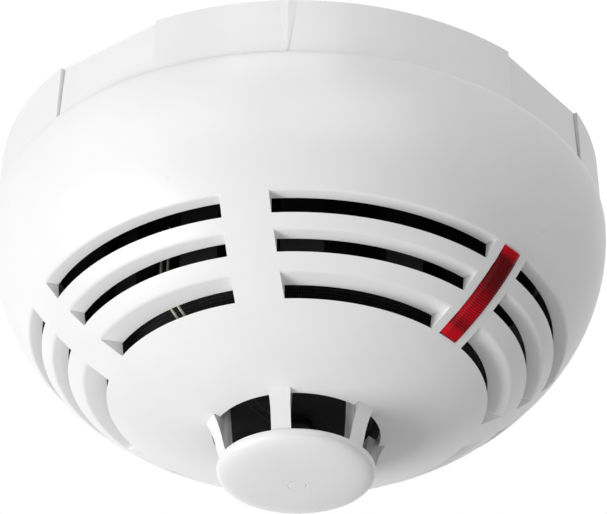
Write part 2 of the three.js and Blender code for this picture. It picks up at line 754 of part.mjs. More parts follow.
// Collar with three lugs that stands on the head back and hooks over the base's ledges
function bayonetRing() {
  const collar = ring(collarRadius - COLLAR_WALL, collarRadius, backTop + GAP, COLLAR_TOP);
  const lugs = around(BAYONETS, BAYONET_ANGLE, () => sector(
    collarRadius - COLLAR_WALL / 2,
    collarRadius + LUG_REACH,
    -LUG_HALF_ANGLE,
    LUG_HALF_ANGLE,
    lugBottom,
    LUG_TOP,
  ));
  return join(collar, ...lugs);
}

function coverScrew() {
  const headBottom = backTop + GAP;
  const headTop = headBottom + COVER_SCREW_HEAD_HEIGHT;
  const tip = backBottom - COVER_SCREW_LENGTH;
  const crown = COVER_SCREW_HEAD_HEIGHT / 3;
  const body = turned([
    [0, tip],
    [COVER_SCREW_RADIUS / 2, tip],
    [COVER_SCREW_RADIUS, tip + COVER_SCREW_RADIUS],
    [COVER_SCREW_RADIUS, headBottom],
    [COVER_SCREW_HEAD_RADIUS, headBottom],
    [COVER_SCREW_HEAD_RADIUS, headTop - crown],
    [COVER_SCREW_HEAD_RADIUS - crown, headTop],
    [0, headTop],
  ], SMALL_ROUND);
  const half = SCREW_SLOT_WIDTH / 3;
  const reach = COVER_SCREW_RECESS;
  const low = headTop - COVER_SCREW_HEAD_HEIGHT / 2;
  const high = headTop + OVERRUN;
  const across = block(-reach, reach, -half, half, low, high);
  const along = block(-half, half, -reach, reach, low, high);
  return cut(body, across, along).translate(coverScrewCircle, 0, 0);
}

function vaneCage() {
  const outer = vaneRadius - VANE_THICKNESS / 2;
  const top = ring(coreRadius + GAP, outer, vaneTop, cageTop, INNER_ROUND);
  const bottom = ring(outer - 2 * CAGE_DISC, outer, cageBottom, vaneBottom, INNER_ROUND);
  const vanes = around(VANES, VANE_ANGLE, () => block(
    vaneRadius - 2 * VANE_THICKNESS,
    vaneRadius + VANE_THICKNESS / 2,
    -VANE_WIDTH / 2,
    VANE_WIDTH / 2,
    vaneBottom - CAGE_DISC / 2,
    vaneTop + CAGE_DISC / 2,
  ));
  return join(top, bottom, ...vanes);
}

function baffleCore() {
  return turned([
    [0, cageBottom],
    [coreRadius, cageBottom],
    [coreRadius, cageTop],
    [coreRadius - CORE_WALL, cageTop],
    [coreRadius - CORE_WALL, cageBottom + CORE_WALL],
    [0, cageBottom + CORE_WALL],
  ], INNER_ROUND);
}

function insectScreen() {
  return turned([
    [screenOuterRadius, screenTop],
    [screenOuterRadius, screenTop - SCREEN_THICKNESS],
    [screenInnerRadius, screenBottom],
    [screenInnerRadius, screenBottom + SCREEN_THICKNESS],
  ], INNER_ROUND);
}

function sensorHolder() {
  return turned([
    [0, hubBottom],
    [HOLDER_HUB_RADIUS, hubBottom],
    [HOLDER_HUB_RADIUS, holderBottom],
    [screenInnerRadius, holderBottom],
    [screenInnerRadius, holderTop],
    [0, holderTop],
  ], INNER_ROUND);
}

function circuitBoard() {
  return disc(boardRadius, boardBottom, boardTop, ROUND);
}

function controlChip() {
  const half = CHIP_SIDE / 2;
  const top = boardBottom - GAP;
  return block(componentCircle - half, componentCircle + half, -half, half, top - CHIP_THICKNESS, top)
    .rotateZ(radians(VANE_ANGLE));
}

function loopCapacitor() {
  const top = boardBottom - GAP;
  const can = turned([
    [0, top - CAPACITOR_HEIGHT],
    [CAPACITOR_RADIUS - CAPACITOR_CHAMFER, top - CAPACITOR_HEIGHT],
    [CAPACITOR_RADIUS, top - CAPACITOR_HEIGHT + CAPACITOR_CHAMFER],
    [CAPACITOR_RADIUS, top],
    [0, top],
  ], SMALL_ROUND);
  return can.translate(componentCircle, 0, 0).rotateZ(radians(VANE_ANGLE + 180));
}

function indicatorLed() {
  const top = boardBottom - GAP;
  const bottom = top - LED_HEIGHT;
  const dome = new THREE.EllipseCurve(0, bottom + LED_RADIUS, LED_RADIUS, LED_RADIUS, -Math.PI / 2, 0)
    .getPoints(3).map((p) => [Math.max(p.x, 0), p.y]);
  return turned([...dome, [LED_RADIUS, top], [0, top]], SMALL_ROUND)
    .translate(componentCircle, 0, 0)
    .rotateZ(lensAngle());
}

// The two bare leads run from the board down beside the vanes, then along the dome to the nose
function thermistorLead(side) {
  const offset = side * LEAD_SPACING / 2;
  const close = side * (BEAD_RADIUS - 2 * LEAD_RADIUS);
  const beadTop = beadLevel + BEAD_RADIUS + GAP;
  const alongDome = domeArc(
    domeAngle(leadDropRadius - LEAD_TURN),
    domeAngle(NOSE_RADIUS + 1.5 * NOSE_FILLET),
    DOME_WALL + LEAD_CLEAR,
    LEAD_BENDS - 1,
  );
  const [firstBend] = alongDome;
  const stops = [
    [leadDropRadius, boardBottom - GAP],
    [leadDropRadius, (boardBottom + vaneBottom) / 2],
    [leadDropRadius, vaneBottom],
    [leadDropRadius - LEAD_RADIUS, (vaneBottom + firstBend[1]) / 2],
    ...alongDome,
    [NOSE_RADIUS - LEAD_TUCK, holderBottom - 4 * LEAD_RADIUS],
    [2 * HOLDER_HUB_RADIUS, hubBottom - 3 * LEAD_RADIUS],
  ];
  const route = new THREE.CatmullRomCurve3([
    ...stops.map(([radius, level]) => new THREE.Vector3(radius, offset, level)),
    new THREE.Vector3(BEAD_RADIUS, close, (hubBottom + beadTop) / 2),
    new THREE.Vector3(0, close, beadTop),
  ]);
  const section = outlineShape(Array.from({ length: 6 }, (_, i) => {
    const angle = i * Math.PI / 3;
    return [LEAD_RADIUS * Math.cos(angle), LEAD_RADIUS * Math.sin(angle)];
  }));
  return new THREE.ExtrudeGeometry(section, { steps: LEAD_STEPS, extrudePath: route, bevelEnabled: false })
    .rotateZ(radians(LEAD_ANGLE));
}

function thermistorBead() {
  return new THREE.SphereGeometry(BEAD_RADIUS, SMALL_ROUND, SMALL_ROUND - 4)
    .rotateX(Math.PI / 2)
    .translate(0, 0, beadLevel);
}

// The assembly

function piece(name, geometry, look) {
  const flat = geometry.clone();
  flat.deleteAttribute('normal');
  const mesh = new THREE.Mesh(flat, new THREE.MeshStandardMaterial(COLOURS[look]));
  mesh.name = name;
  return mesh;
}

// Copies of one piece round the axis, numbered from 1
function pieces(name, geometry, look, count, start) {
  return Array.from({ length: count }, (_, i) => {
    const mesh = piece(`${name}_${i + 1}`, geometry, look);
    mesh.rotation.z = radians(start + 360 * i / count);
    return mesh;
  });
}

const base = new THREE.Group();
base.name = 'base';
base.add(
  piece('base_shell', baseShell(), 'base'),
  ...pieces('contact_spring', contactSpring(), 'brass', TERMINALS, TERMINAL_ANGLE),
  ...pieces('terminal_clamp', terminalClamp(), 'steel', TERMINALS, TERMINAL_ANGLE),
  ...pieces('terminal_screw', terminalScrew(), 'steel', TERMINALS, TERMINAL_ANGLE),
);

const head = new THREE.Group();
head.name = 'head';
head.add(
  piece('outer_cover', outerCover(), 'cover'),
  piece('indicator_lens', indicatorLens(), 'red'),
  piece('head_back', headBack(), 'back'),
  piece('bayonet_ring', bayonetRing(), 'back'),
  ...pieces('contact_blade', contactBlade(), 'brass', TERMINALS, bladeAngle),
  ...pieces('cover_screw', coverScrew(), 'steel', BAYONETS, RIB_ANGLE),
  piece('circuit_board', circuitBoard(), 'board'),
  piece('control_chip', controlChip(), 'black'),
  piece('loop_capacitor', loopCapacitor(), 'black'),
  piece('indicator_led', indicatorLed(), 'red'),
  piece('vane_cage', vaneCage(), 'black'),
  piece('baffle_core', baffleCore(), 'black'),
  piece('insect_screen', insectScreen(), 'screen'),
  piece('sensor_holder', sensorHolder(), 'black'),
  piece('thermistor_bead', thermistorBead(), 'glass'),
  piece('thermistor_lead_1', thermistorLead(-1), 'steel'),
  piece('thermistor_lead_2', thermistorLead(1), 'steel'),
);

const detector = new THREE.Group();
detector.name = 'heat_detector';
detector.add(base, head);

export default detector;
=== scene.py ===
# %% [markdown]
# # A white ceiling heat detector
# The detector hangs from a ceiling. A base is screwed up first, and a domed head twists into it.
# The head has three rows of louvres between six ribs, a red light bar on one rib, and a small cage
# at the bottom that holds the temperature sensor in the open air.
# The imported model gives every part's place. This lesson rebuilds the parts that show with fine
# surfaces, and gives each part that stays its finish.

import math

import bmesh
import bpy
from mathutils import Matrix, Vector


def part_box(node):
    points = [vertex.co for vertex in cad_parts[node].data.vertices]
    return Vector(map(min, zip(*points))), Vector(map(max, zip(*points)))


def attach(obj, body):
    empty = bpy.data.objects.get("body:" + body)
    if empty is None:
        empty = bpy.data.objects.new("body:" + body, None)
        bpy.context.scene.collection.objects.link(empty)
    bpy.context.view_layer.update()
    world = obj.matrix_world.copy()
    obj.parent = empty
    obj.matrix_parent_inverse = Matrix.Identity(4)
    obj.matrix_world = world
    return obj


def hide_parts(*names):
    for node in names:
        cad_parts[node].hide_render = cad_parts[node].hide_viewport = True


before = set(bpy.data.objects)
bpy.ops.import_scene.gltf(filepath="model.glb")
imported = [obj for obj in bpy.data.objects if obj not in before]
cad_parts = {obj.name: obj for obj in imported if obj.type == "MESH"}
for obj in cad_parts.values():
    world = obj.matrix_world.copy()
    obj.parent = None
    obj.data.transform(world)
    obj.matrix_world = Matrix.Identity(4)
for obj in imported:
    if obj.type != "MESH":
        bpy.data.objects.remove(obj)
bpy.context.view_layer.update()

# %% [markdown]
# ## The camera
# The photograph looks up at the front at about 34 degrees, from half a metre away, with a long
# lens. The camera could be placed by eye, but a fit of the ribs, the slots and the rims gives its
# angle, roll and distance, so they are written here as numbers.

# %% Camera
MM = 0.001
LOOK_UP = math.radians(34.13)
ROLL = math.radians(0.67)
DISTANCE = 522.5 * MM
AIM = Vector((0, 0, -37.85 * MM))
SIDE_STEP = 1.114 * MM
RISE = 18.13 * MM
FOCAL_LENGTH = 166.06
SENSOR_WIDTH = 36

ahead = Vector((0, math.cos(LOOK_UP), math.sin(LOOK_UP)))
level_up = Vector((0, -math.sin(LOOK_UP), math.cos(LOOK_UP)))
right = math.cos(ROLL) * Vector((1, 0, 0)) + math.sin(ROLL) * level_up
up = math.cos(ROLL) * level_up - math.sin(ROLL) * Vector((1, 0, 0))
eye = AIM - DISTANCE * ahead + SIDE_STEP * right + RISE * up

camera_data = bpy.data.cameras.new("camera")
camera_data.sensor_width = SENSOR_WIDTH
camera_data.lens = FOCAL_LENGTH
camera_data.clip_start = 0.01
camera_data.clip_end = 50
camera = bpy.data.objects.new("camera", camera_data)
camera.matrix_world = Matrix((right, up, -ahead)).transposed().to_4x4()
camera.location = eye
bpy.context.collection.objects.link(camera)
bpy.context.scene.camera = camera
bpy.context.scene.view_settings.view_transform = "Standard"
print("camera at", [round(v, 4) for v in eye])

# %% [markdown]
# ## Shader maths in Python
# A material is a net of nodes, and a net of Math nodes is hard to read. Here one small class wraps
# a number socket, so that `1 - mask` or `a * b + c` adds the Math nodes by itself. A second class
# holds a node tree and has the one method that makes every node.

# %% Number sockets that take Python's signs
class Number:
    """A number in a node tree."""

    def __init__(self, sheet, socket):
        self.sheet = sheet
        self.socket = socket

    def math(self, operation, *values):
        node = self.sheet.add("ShaderNodeMath", {"operation": operation}, dict(enumerate(values)))
        return Number(self.sheet, node.outputs[0])

    def __add__(self, other):
        return self.math("ADD", self, other)

    def __sub__(self, other):
        return self.math("SUBTRACT", self, other)

    def __rsub__(self, other):
        return self.math("SUBTRACT", other, self)

    def __mul__(self, other):
        return self.math("MULTIPLY", self, other)

    def __gt__(self, other):
        return self.math("GREATER_THAN", self, other)

    def __lt__(self, other):
        return self.math("LESS_THAN", self, other)

    def sine(self):
        return self.math("SINE", self)

    def larger(self, other):
        return self.math("MAXIMUM", self, other)

    def hypot(self, other):
        return self.math("POWER", self * self + other * other, 0.5)

    def ramp(self, low, high):
        """0 below low, 1 above high, and smooth between."""
        node = self.sheet.add(
            "ShaderNodeMapRange",
            {"interpolation_type": "SMOOTHSTEP"},
            {"Value": self, "From Min": low, "From Max": high},
        )
        return Number(self.sheet, node.outputs["Result"])


# %% A sheet of nodes
class Sheet:
    """A node tree with one method that adds nodes."""

    def __init__(self, tree):
        self.tree = tree

    def plug(self, value, socket):
        if isinstance(value, Number):
            value = value.socket
        if isinstance(value, bpy.types.NodeSocket):
            self.tree.links.new(value, socket)
        else:
            socket.default_value = value

    def add(self, kind, settings=None, sockets=None):
        node = self.tree.nodes.new(kind)
        for name, value in (settings or {}).items():
            setattr(node, name, value)
        for name, value in (sockets or {}).items():
            self.plug(value, node.inputs[name])
        return node


class Finish(Sheet):
    """A material with one Principled shader."""

    def __init__(self, name, **constants):
        self.material = bpy.data.materials.new(name)
        self.material.use_nodes = True
        super().__init__(self.material.node_tree)
        self.shader = self.tree.nodes["Principled BSDF"]
        for key, value in constants.items():
            self.shader.inputs[key.replace("_", " ")].default_value = value
        self.place = self.add("ShaderNodeTexCoord").outputs["Object"]

    def turned(self, degrees):
        """Object coordinates turned about the detector's axis."""
        angle = (0, 0, math.radians(degrees))
        return self.add("ShaderNodeMapping", None, {"Vector": self.place, "Rotation": angle}).outputs[0]

    def stretched(self, factors):
        """Object coordinates multiplied axis by axis, so that a noise gets long or short grains."""
        sockets = {0: self.place, 1: factors}
        return self.add("ShaderNodeVectorMath", {"operation": "MULTIPLY"}, sockets).outputs[0]

    def axes(self, place=None):
        """The three numbers of a place, in millimetres."""
        parts = self.add("ShaderNodeSeparateXYZ", None, {0: place or self.place}).outputs
        return [Number(self, part) * (1 / MM) for part in parts]

    def noise(self, scale, detail=2.0, place=None):
        node = self.add(
            "ShaderNodeTexNoise", None,
            {"Vector": place or self.place, "Scale": scale, "Detail": detail},
        )
        return Number(self, node.outputs["Fac"])

    def blend(self, factor, first, second):
        node = self.add("ShaderNodeMix", {"data_type": "RGBA"}, {"Factor": factor})
        self.plug(first, node.inputs[6])
        self.plug(second, node.inputs[7])
        return node.outputs[2]

    def set(self, name, value):
        self.plug(value, self.shader.inputs[name])

    def bump(self, height, distance, strength=1.0):
        node = self.add(
            "ShaderNodeBump", None,
            {"Height": height, "Distance": distance, "Strength": strength},
        )
        self.set("Normal", node.outputs["Normal"])


def rgb(red, green, blue):
    """A colour written as a screen shows it, turned into the linear values that Blender wants."""
    def linear(value):
        return value / 12.92 if value <= 0.04045 else ((value + 0.055) / 1.055) ** 2.4
    return (linear(red), linear(green), linear(blue), 1.0)


# %% [markdown]
# ## Light
# The photograph has a pure white background, an even soft light all round and one large soft light
# on the left. The right side falls off to a light grey. A white world could light everything, but
# then the shape would be lost, so the world is white only where it is seen or mirrored, and weaker
# as a lamp. Large area lights do the rest.

# %% World
world = bpy.data.worlds.new("studio")
bpy.context.scene.world = world
world.use_nodes = True
studio = Sheet(world.node_tree)
ray = studio.add("ShaderNodeLightPath")
seen = Number(studio, ray.outputs["Is Camera Ray"])
seen = seen.larger(Number(studio, ray.outputs["Is Glossy Ray"]))
seen = seen.larger(Number(studio, ray.outputs["Is Transmission Ray"]))
AMBIENT = 0.2
sky = world.node_tree.nodes["Background"]
studio.plug((1, 1, 1, 1), sky.inputs["Color"])
studio.plug(seen * (1 - AMBIENT) + AMBIENT, sky.inputs["Strength"])

# %% Area lights
LIGHT_DISTANCE = 1.15
LIGHT_SIZE = 0.7
LIGHTS = {
    "left_key": ((-0.8, -0.2, -0.56), 10.9),
    "high_front_fill": ((-0.1, -0.75, 0.65), 4.2),
    "front_fill": ((0.3, -0.95, 0.05), 2.7),
    "low_right_fill": ((0.5, -0.25, -0.83), 1.1),
}


def softbox(name, place, power):
    """A square soft light that looks at the detector."""
    light = bpy.data.lights.new(name, "AREA")
    light.shape = "SQUARE"
    light.size = LIGHT_SIZE
    light.energy = power
    lamp = bpy.data.objects.new(name, light)
    away = (place - AIM).normalized()
    lamp.rotation_euler = away.to_track_quat("Z", "Y").to_euler()
    lamp.location = place
    bpy.context.collection.objects.link(lamp)


for name, (direction, power) in LIGHTS.items():
    softbox(name, Vector(direction).normalized() * LIGHT_DISTANCE, power)

# %% [markdown]
# ## The floor
# The detector hangs high above a plain pale floor. The floor lies far enough down that the views
# from below stay above it.

# %% Floor
FLOOR_LEVEL = -1.25
FLOOR_HALF = 6
floor_mesh = bpy.data.meshes.new("floor")
shape = bmesh.new()
bmesh.ops.create_grid(shape, x_segments=1, y_segments=1, size=FLOOR_HALF)
bmesh.ops.translate(shape, vec=(0, 0, FLOOR_LEVEL), verts=shape.verts)
shape.to_mesh(floor_mesh)
shape.free()
floor = bpy.data.objects.new("floor", floor_mesh)
bpy.context.collection.objects.link(floor)
paper = Finish("pale_floor", Roughness=0.8)
paper_tone = paper.blend(paper.noise(3), rgb(0.965, 0.965, 0.965), rgb(0.975, 0.975, 0.975))
paper.set("Base Color", paper_tone)
floor_mesh.materials.append(paper.material)

# %% [markdown]
# ## White mouldings
# The cover and the base are injection moulded in a satin white plastic. Its colour drifts a little
# with the flow, its gloss is uneven, and it has a very fine grain from the tool. Noises of four
# sizes give these. A pin of the tool left a faint ring on the cap, less than a tenth of a millimetre
# deep, which a bump can show. The sides of the nose's posts and the walls of two of the base's grooves
# get painted shade: a darker grey with upright streaks that stands for the shadow in these recesses. An
# attribute of the faces marks them.

# %% White plastic
PIN_X = 0.32
PIN_Y = 1.2
PIN_RADIUS = 1.68
PIN_SOFTNESS = 0.2
PIN_DEPTH = 40
CAP_FACE_TOP = -63
# Grey of the painted shade on the post sides and the groove walls.
PAINTED_SHADE_GREY = rgb(0.6, 0.6, 0.61)


def white_plastic(name, light, dark, roughness, pin_mark_and_shade=False):
    finish = Finish(name, IOR=1.5)
    colour = finish.blend(finish.noise(55, 3).ramp(0.3, 0.7), light, dark)
    finish.set("Roughness", finish.noise(180, 4) * 0.1 + (roughness - 0.05))
    grain = finish.noise(5200, 2) + finish.noise(900, 2) * 0.6
    if pin_mark_and_shade:
        x, y, z = finish.axes()
        reach = (x - PIN_X).hypot(y - PIN_Y)
        inner_side = reach.ramp(PIN_RADIUS - PIN_SOFTNESS, PIN_RADIUS)
        outer_side = 1 - reach.ramp(PIN_RADIUS, PIN_RADIUS + PIN_SOFTNESS)
        grain = grain - inner_side * outer_side * (z < CAP_FACE_TOP) * PIN_DEPTH
        # Painted shade: faces marked by the face attribute get a streaked darker grey, standing for the
        # shadow on the nose's post sides and in two of the base's grooves.
        painted_shade_faces = finish.add("ShaderNodeAttribute", {"attribute_name": "painted_shade"})
        painted_shade = Number(finish, painted_shade_faces.outputs["Fac"])
        streak = finish.noise(1600, 2, finish.stretched((1, 1, 0.1))).ramp(0.3, 0.7)
        colour = finish.blend(painted_shade * (streak * 0.35 + 0.5), colour, PAINTED_SHADE_GREY)
    finish.set("Base Color", colour)
    finish.bump(grain, 0.000004, 0.5)
    return finish.material


cover_white = white_plastic(
    "satin_white_cover", rgb(0.957, 0.956, 0.957), rgb(0.944, 0.943, 0.944), 0.3, pin_mark_and_shade=True,
)
base_white = white_plastic(
    "satin_white_base", rgb(0.952, 0.951, 0.952), rgb(0.938, 0.937, 0.938), 0.34, pin_mark_and_shade=True,
)
back_white = white_plastic("plain_white_back", rgb(0.92, 0.92, 0.925), rgb(0.9, 0.9, 0.905), 0.45)

# %% [markdown]
# ## Sizes that several pieces share
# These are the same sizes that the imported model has. Levels run down from the ceiling, and the
# dome is half of an ellipse under its widest circle.

# %% Shared sizes
DOME_RADIUS = 58.5
DOME_HEIGHT = 43.8
DOME_LEVEL = -13.4
NOSE_RADIUS = 15.4
FIRST_RIB = -101
RIBS = 6
RIB_STEP = 360 / RIBS
LENS_RIB = 1
ROWS = ((-35.9, -38.8), (-40.9, -43.5), (-45.7, -48.4))
ONE_POINT = 0.01


def dome_angle(radius):
    return math.acos(radius / DOME_RADIUS)


def dome_point(angle, depth=0.0):
    """Radius and level of a point of the dome, set back by depth along its normal."""
    across = math.cos(angle) / DOME_RADIUS
    down = math.sin(angle) / DOME_HEIGHT
    length = math.hypot(across, down)
    return (
        DOME_RADIUS * math.cos(angle) - depth * across / length,
        DOME_LEVEL - DOME_HEIGHT * math.sin(angle) + depth * down / length,
    )


def radius_at(level):
    return DOME_RADIUS * math.sqrt(1 - ((DOME_LEVEL - level) / DOME_HEIGHT) ** 2)


def polar(angle, radius, level=0.0):
    return Vector((radius * math.cos(angle), radius * math.sin(angle), level))


def steps(first, last, count):
    """Even steps from first to last, without last."""
    return [first + (last - first) * i / count for i in range(count)]


# %% Finishing a piece
def sharpen(mesh, degrees):
    """Shade smooth, but keep edges that bend more than this many degrees."""
    for face in mesh.faces:
        face.smooth = True
    for edge in mesh.edges:
        edge.smooth = edge.calc_face_angle(0) < math.radians(degrees)


def finish_piece(name, mesh, body, slot, material, *replaced):
    """Scale from millimetres, make the object and tie it to its body."""
    bmesh.ops.scale(mesh, vec=(MM, MM, MM), verts=mesh.verts)
    data = bpy.data.meshes.new(name)
    open_edges = sum(not edge.is_manifold for edge in mesh.edges)
    mesh.to_mesh(data)
    mesh.free()
    data.materials.append(material)
    piece = bpy.data.objects.new(name, data)
    bpy.context.collection.objects.link(piece)
    even = piece.modifiers.new("even_normals", "WEIGHTED_NORMAL")
    even.keep_sharp = True
    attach(piece, body)
    if replaced:
        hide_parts(*replaced)
    print(name, len(data.polygons), "faces,", open_edges, "open edges")


def round_edges(mesh, edges, width, segments):
    bmesh.ops.bevel(
        mesh, geom=edges, offset=width, offset_type="OFFSET", affect="EDGES",
        segments=segments, profile=0.5, material=-1, clamp_overlap=True,
    )


# %% Marking dull faces
def mark_painted_shade(mesh, chosen, amount):
    """Write an amount of painted shade on the chosen upright faces that look sideways."""
    layer = mesh.faces.layers.float.new("painted_shade")
    mesh.normal_update()
    for face in mesh.faces:
        middle = face.calc_center_median()
        sideways = abs(face.normal.xy.dot(middle.xy)) < 0.5 * middle.xy.length
        if sideways and abs(face.normal.z) < 0.5 and chosen(face, middle):
            face[layer] = amount
    print("dull faces:", sum(face[layer] > 0 for face in mesh.faces))


# %% [markdown]
# ## The louvred cover
# This is the part that takes the most skill. On the real one two halves of a mould pull straight
# apart, so each slot has a level roof that runs in exactly as far as the next band begins, and ends
# that are parallel to the rib beside it. The cover could be cut by booleans, but these leave ragged
# shading round each slot. Here the outer face is spun from one profile with a ring of points at
# every slot edge, the slot faces are taken out, and the rest is extruded to the inner profile, so
# all the slot walls come by themselves.

# %% Profiles of the cover
RIM_LEVEL = -11.79
RIM_INNER = 55.5
WALL = 2.0
BAND_EDGE = 0.3
BAND_HALF = 1.05
LIP_TURN = 2.2
FOOT_RADIUS = 16.7

shoulder = [(58.0, RIM_LEVEL), (58.2, -11.87), (58.34, -12.1), (58.42, -12.6)]
angles = steps(0, math.asin((DOME_LEVEL - ROWS[0][0]) / DOME_HEIGHT), 12)
outside = shoulder + [dome_point(angle) for angle in angles]
slot_rows = []
for top, bottom in ROWS:
    slot_rows.append(len(outside))
    outside += [(radius_at(top), top), (radius_at(bottom), bottom)]
    middle = bottom - BAND_HALF
    outside.append((radius_at(middle), middle))
low_start = dome_angle(outside[-1][0])
outside += [dome_point(angle) for angle in steps(low_start, dome_angle(FOOT_RADIUS), 9)[1:]]
foot_row = len(outside)
outside += [dome_point(dome_angle(FOOT_RADIUS)), dome_point(dome_angle(NOSE_RADIUS))]
lip_row = len(outside) - 1

last_slot_row = slot_rows[-1] + 1
inside = [(RIM_INNER, RIM_LEVEL)]
for radius, level in outside[1:slot_rows[0]]:
    inside.append((radius - WALL, level))
for row, (top, bottom) in zip(slot_rows, ROWS):
    foot_of_roof = radius_at(bottom)
    inside += [(foot_of_roof, top), (foot_of_roof - BAND_EDGE, bottom)]
    if row != slot_rows[-1]:
        next_foot = radius_at(ROWS[slot_rows.index(row) + 1][1])
        inside.append(((foot_of_roof - BAND_EDGE + next_foot) / 2, outside[row + 2][1]))
for row in range(len(inside), len(outside)):
    radius, level = outside[row]
    share = (row - last_slot_row) / (lip_row - last_slot_row)
    inside.append((radius - WALL * (1 - share) * min(1, share * 4), level + LIP_TURN * share))
print("profile points:", len(outside), "slots start at rows", slot_rows)

# %% [markdown]
# Each field has 24 columns of faces: 2 on each half of a rib and 20 between. The ribs keep the same
# width from top to bottom, so the columns on them must run parallel, and the others share what is
# left. One function turns a column's number and a radius into its angle.

# %% Columns of the cover
FIELD_COLUMNS = 24
HALF_FIELD = FIELD_COLUMNS / 2
RIB_COLUMNS = 2
COLUMNS = RIBS * FIELD_COLUMNS
RIB_HALF = 4.375
POST_HALF = 1.8
POST_TAPER = 0.5
POST_INNER = 12.4
POST_OUTER = 14.25
LENS_RIB_HALF = 4.25
LENS_SHIFT = 0.25
LENS_SLOT_HALF = 2.24
LENS_SLOT_END = 30
RIB_DEPTH = 2.4
RIB_NARROW = 19
RIB_FULL = 31


def post_half(radius):
    """Half of a post's width: its sides close in towards the axis."""
    return POST_HALF - POST_TAPER * min(1, max(0, (POST_OUTER - radius) / (POST_OUTER - POST_INNER)))


def rib_half(radius, rib):
    """Half of the rib's width: narrow at the nose, full at the louvres."""
    full = LENS_RIB_HALF if rib == LENS_RIB else RIB_HALF
    share = min(1, max(0, (radius - RIB_NARROW) / (RIB_FULL - RIB_NARROW)))
    return post_half(radius) + (full - POST_HALF) * share * share * (3 - 2 * share)


def column_angle(column, radius):
    """Angle in degrees of a column of points at a radius."""
    field = math.floor(column / FIELD_COLUMNS + 0.5)
    rib = field % RIBS
    offset = column - field * FIELD_COLUMNS
    half_width = rib_half(radius, rib)
    edge = min(RIB_STEP / 4, math.degrees(math.asin(min(1, half_width / max(radius, 0.1)))))
    count = abs(offset)
    if count <= RIB_COLUMNS:
        share = count / RIB_COLUMNS
        if rib == LENS_RIB and count == 1 and radius > LENS_SLOT_END:
            share = LENS_SLOT_HALF / half_width
        turn = edge * share
    else:
        turn = edge + (RIB_STEP / 2 - edge) * (count - RIB_COLUMNS) / (HALF_FIELD - RIB_COLUMNS)
    turn = math.copysign(turn, offset)
    if rib == LENS_RIB and radius > RIB_NARROW:
        away = 1 - max(0, count - RIB_COLUMNS) / (HALF_FIELD - RIB_COLUMNS)
        turn += math.degrees(LENS_SHIFT / radius) * away
    return FIRST_RIB + RIB_STEP * field + turn


def place_point(point, column, radius, level):
    point.co = polar(math.radians(column_angle(column, radius)), radius, level)


# %% [markdown]
# The spin makes an even grid of faces. Each point remembers its row and its column in two layers,
# and the extrude copies them, so the inner points find their own place.

# %% Spin the outer face
cover = bmesh.new()
row_layer = cover.verts.layers.int.new("row")
column_layer = cover.verts.layers.int.new("column")


def spin_profile(mesh, profile, first_row):
    """Turn a profile right round and number its points. Returns the new points."""
    before = set(mesh.verts)
    line = []
    for row, (radius, level) in enumerate(profile):
        point = mesh.verts.new((radius, 0, level))
        point[row_layer] = first_row + row
        line.append(point)
    edges = [mesh.edges.new(pair) for pair in zip(line, line[1:])]
    bmesh.ops.spin(
        mesh, geom=line + edges, cent=(0, 0, 0), axis=(0, 0, 1),
        angle=2 * math.pi, steps=COLUMNS, use_merge=True,
    )
    made = [point for point in mesh.verts if point not in before]
    for point in made:
        turn = math.atan2(point.co.y, point.co.x) / (2 * math.pi) * COLUMNS
        point[column_layer] = round(turn) % COLUMNS
    return made


def face_cell(face):
    """Lowest row of a face, and its column counted right round the cover."""
    row = min(point[row_layer] for point in face.verts)
    centre = face.calc_center_median()
    turn = math.atan2(centre.y, centre.x) / (2 * math.pi) * COLUMNS
    return row, math.floor(turn % COLUMNS)


def on_rib(column):
    return (column + RIB_COLUMNS) % FIELD_COLUMNS < 2 * RIB_COLUMNS


def on_lens(column):
    return (column - LENS_RIB * FIELD_COLUMNS) % COLUMNS in (0, COLUMNS - 1)


spin_profile(cover, outside, 0)
taken = []
for face in cover.faces:
    row, column = face_cell(face)
    in_slot = row in slot_rows and not on_rib(column)
    in_lens = on_lens(column) and slot_rows[0] <= row < last_slot_row
    if in_slot or in_lens:
        taken.append(face)
bmesh.ops.delete(cover, geom=taken, context="FACES")
print("slot faces taken out:", len(taken))

# %% Extrude the wall and place every point
outer_faces = list(cover.faces)
outer_points = set(cover.verts)
bmesh.ops.extrude_face_region(cover, geom=outer_faces, use_keep_orig=True)
for point in cover.verts:
    row, column = point[row_layer], point[column_layer]
    radius, level = outside[row]
    if point not in outer_points:
        deep = radius - RIB_DEPTH
        radius, level = inside[row]
        rib_middle = (column + 1) % FIELD_COLUMNS <= 2
        if rib_middle and slot_rows[0] <= row <= last_slot_row:
            radius = min(radius, deep)
    place_point(point, column, radius, level)
bmesh.ops.recalc_face_normals(cover, faces=cover.faces)
print("cover shell:", len(cover.faces), "faces")

# %% [markdown]
# ## The nose cap and its six posts
# The cap is a dished disc with a soft edge. It is spun in the same columns as the dome, so that
# each post can start from four faces of the dome and end on four faces of the cap. The post is
# swept station by station along two lines, a curve for its outer face and a straight one for its
# inner face, which starts up inside the nose, and the last step bridges it to the cap.

# %% Spin the cap
CAP_TOP = -62.4
CAP_ROW = 100
cap_profile = [
    (0, -63.4), (10.5, -63.4), (10.85, -63.3), (11.0, -63.05), (11.0, CAP_TOP),
    (POST_INNER, CAP_TOP), (POST_OUTER, CAP_TOP), (14.45, -62.5), (14.5, -62.75),
    (14.47, -63.2), (14.3, -63.65), (13.9, -64.05), (13.2, -64.4), (12.2, -64.69),
    (10.5, -64.96), (8.0, -65.17), (5.0, -65.27), (2.6, -65.3), (0, -65.3),
]
cap_points = spin_profile(cover, cap_profile, CAP_ROW)
axis_points = [point for point in cap_points if point.co.xy.length < ONE_POINT]
bmesh.ops.remove_doubles(cover, verts=axis_points, dist=ONE_POINT)
for point in cover.verts:
    if point[row_layer] >= CAP_ROW:
        radius, level = cap_profile[point[row_layer] - CAP_ROW]
        place_point(point, point[column_layer], radius, level)


# %% Sweep the posts
def rim_edges(faces):
    """The edges round a patch of faces."""
    return [edge for face in faces for edge in face.edges
            if sum(other in faces for other in edge.link_faces) == 1]


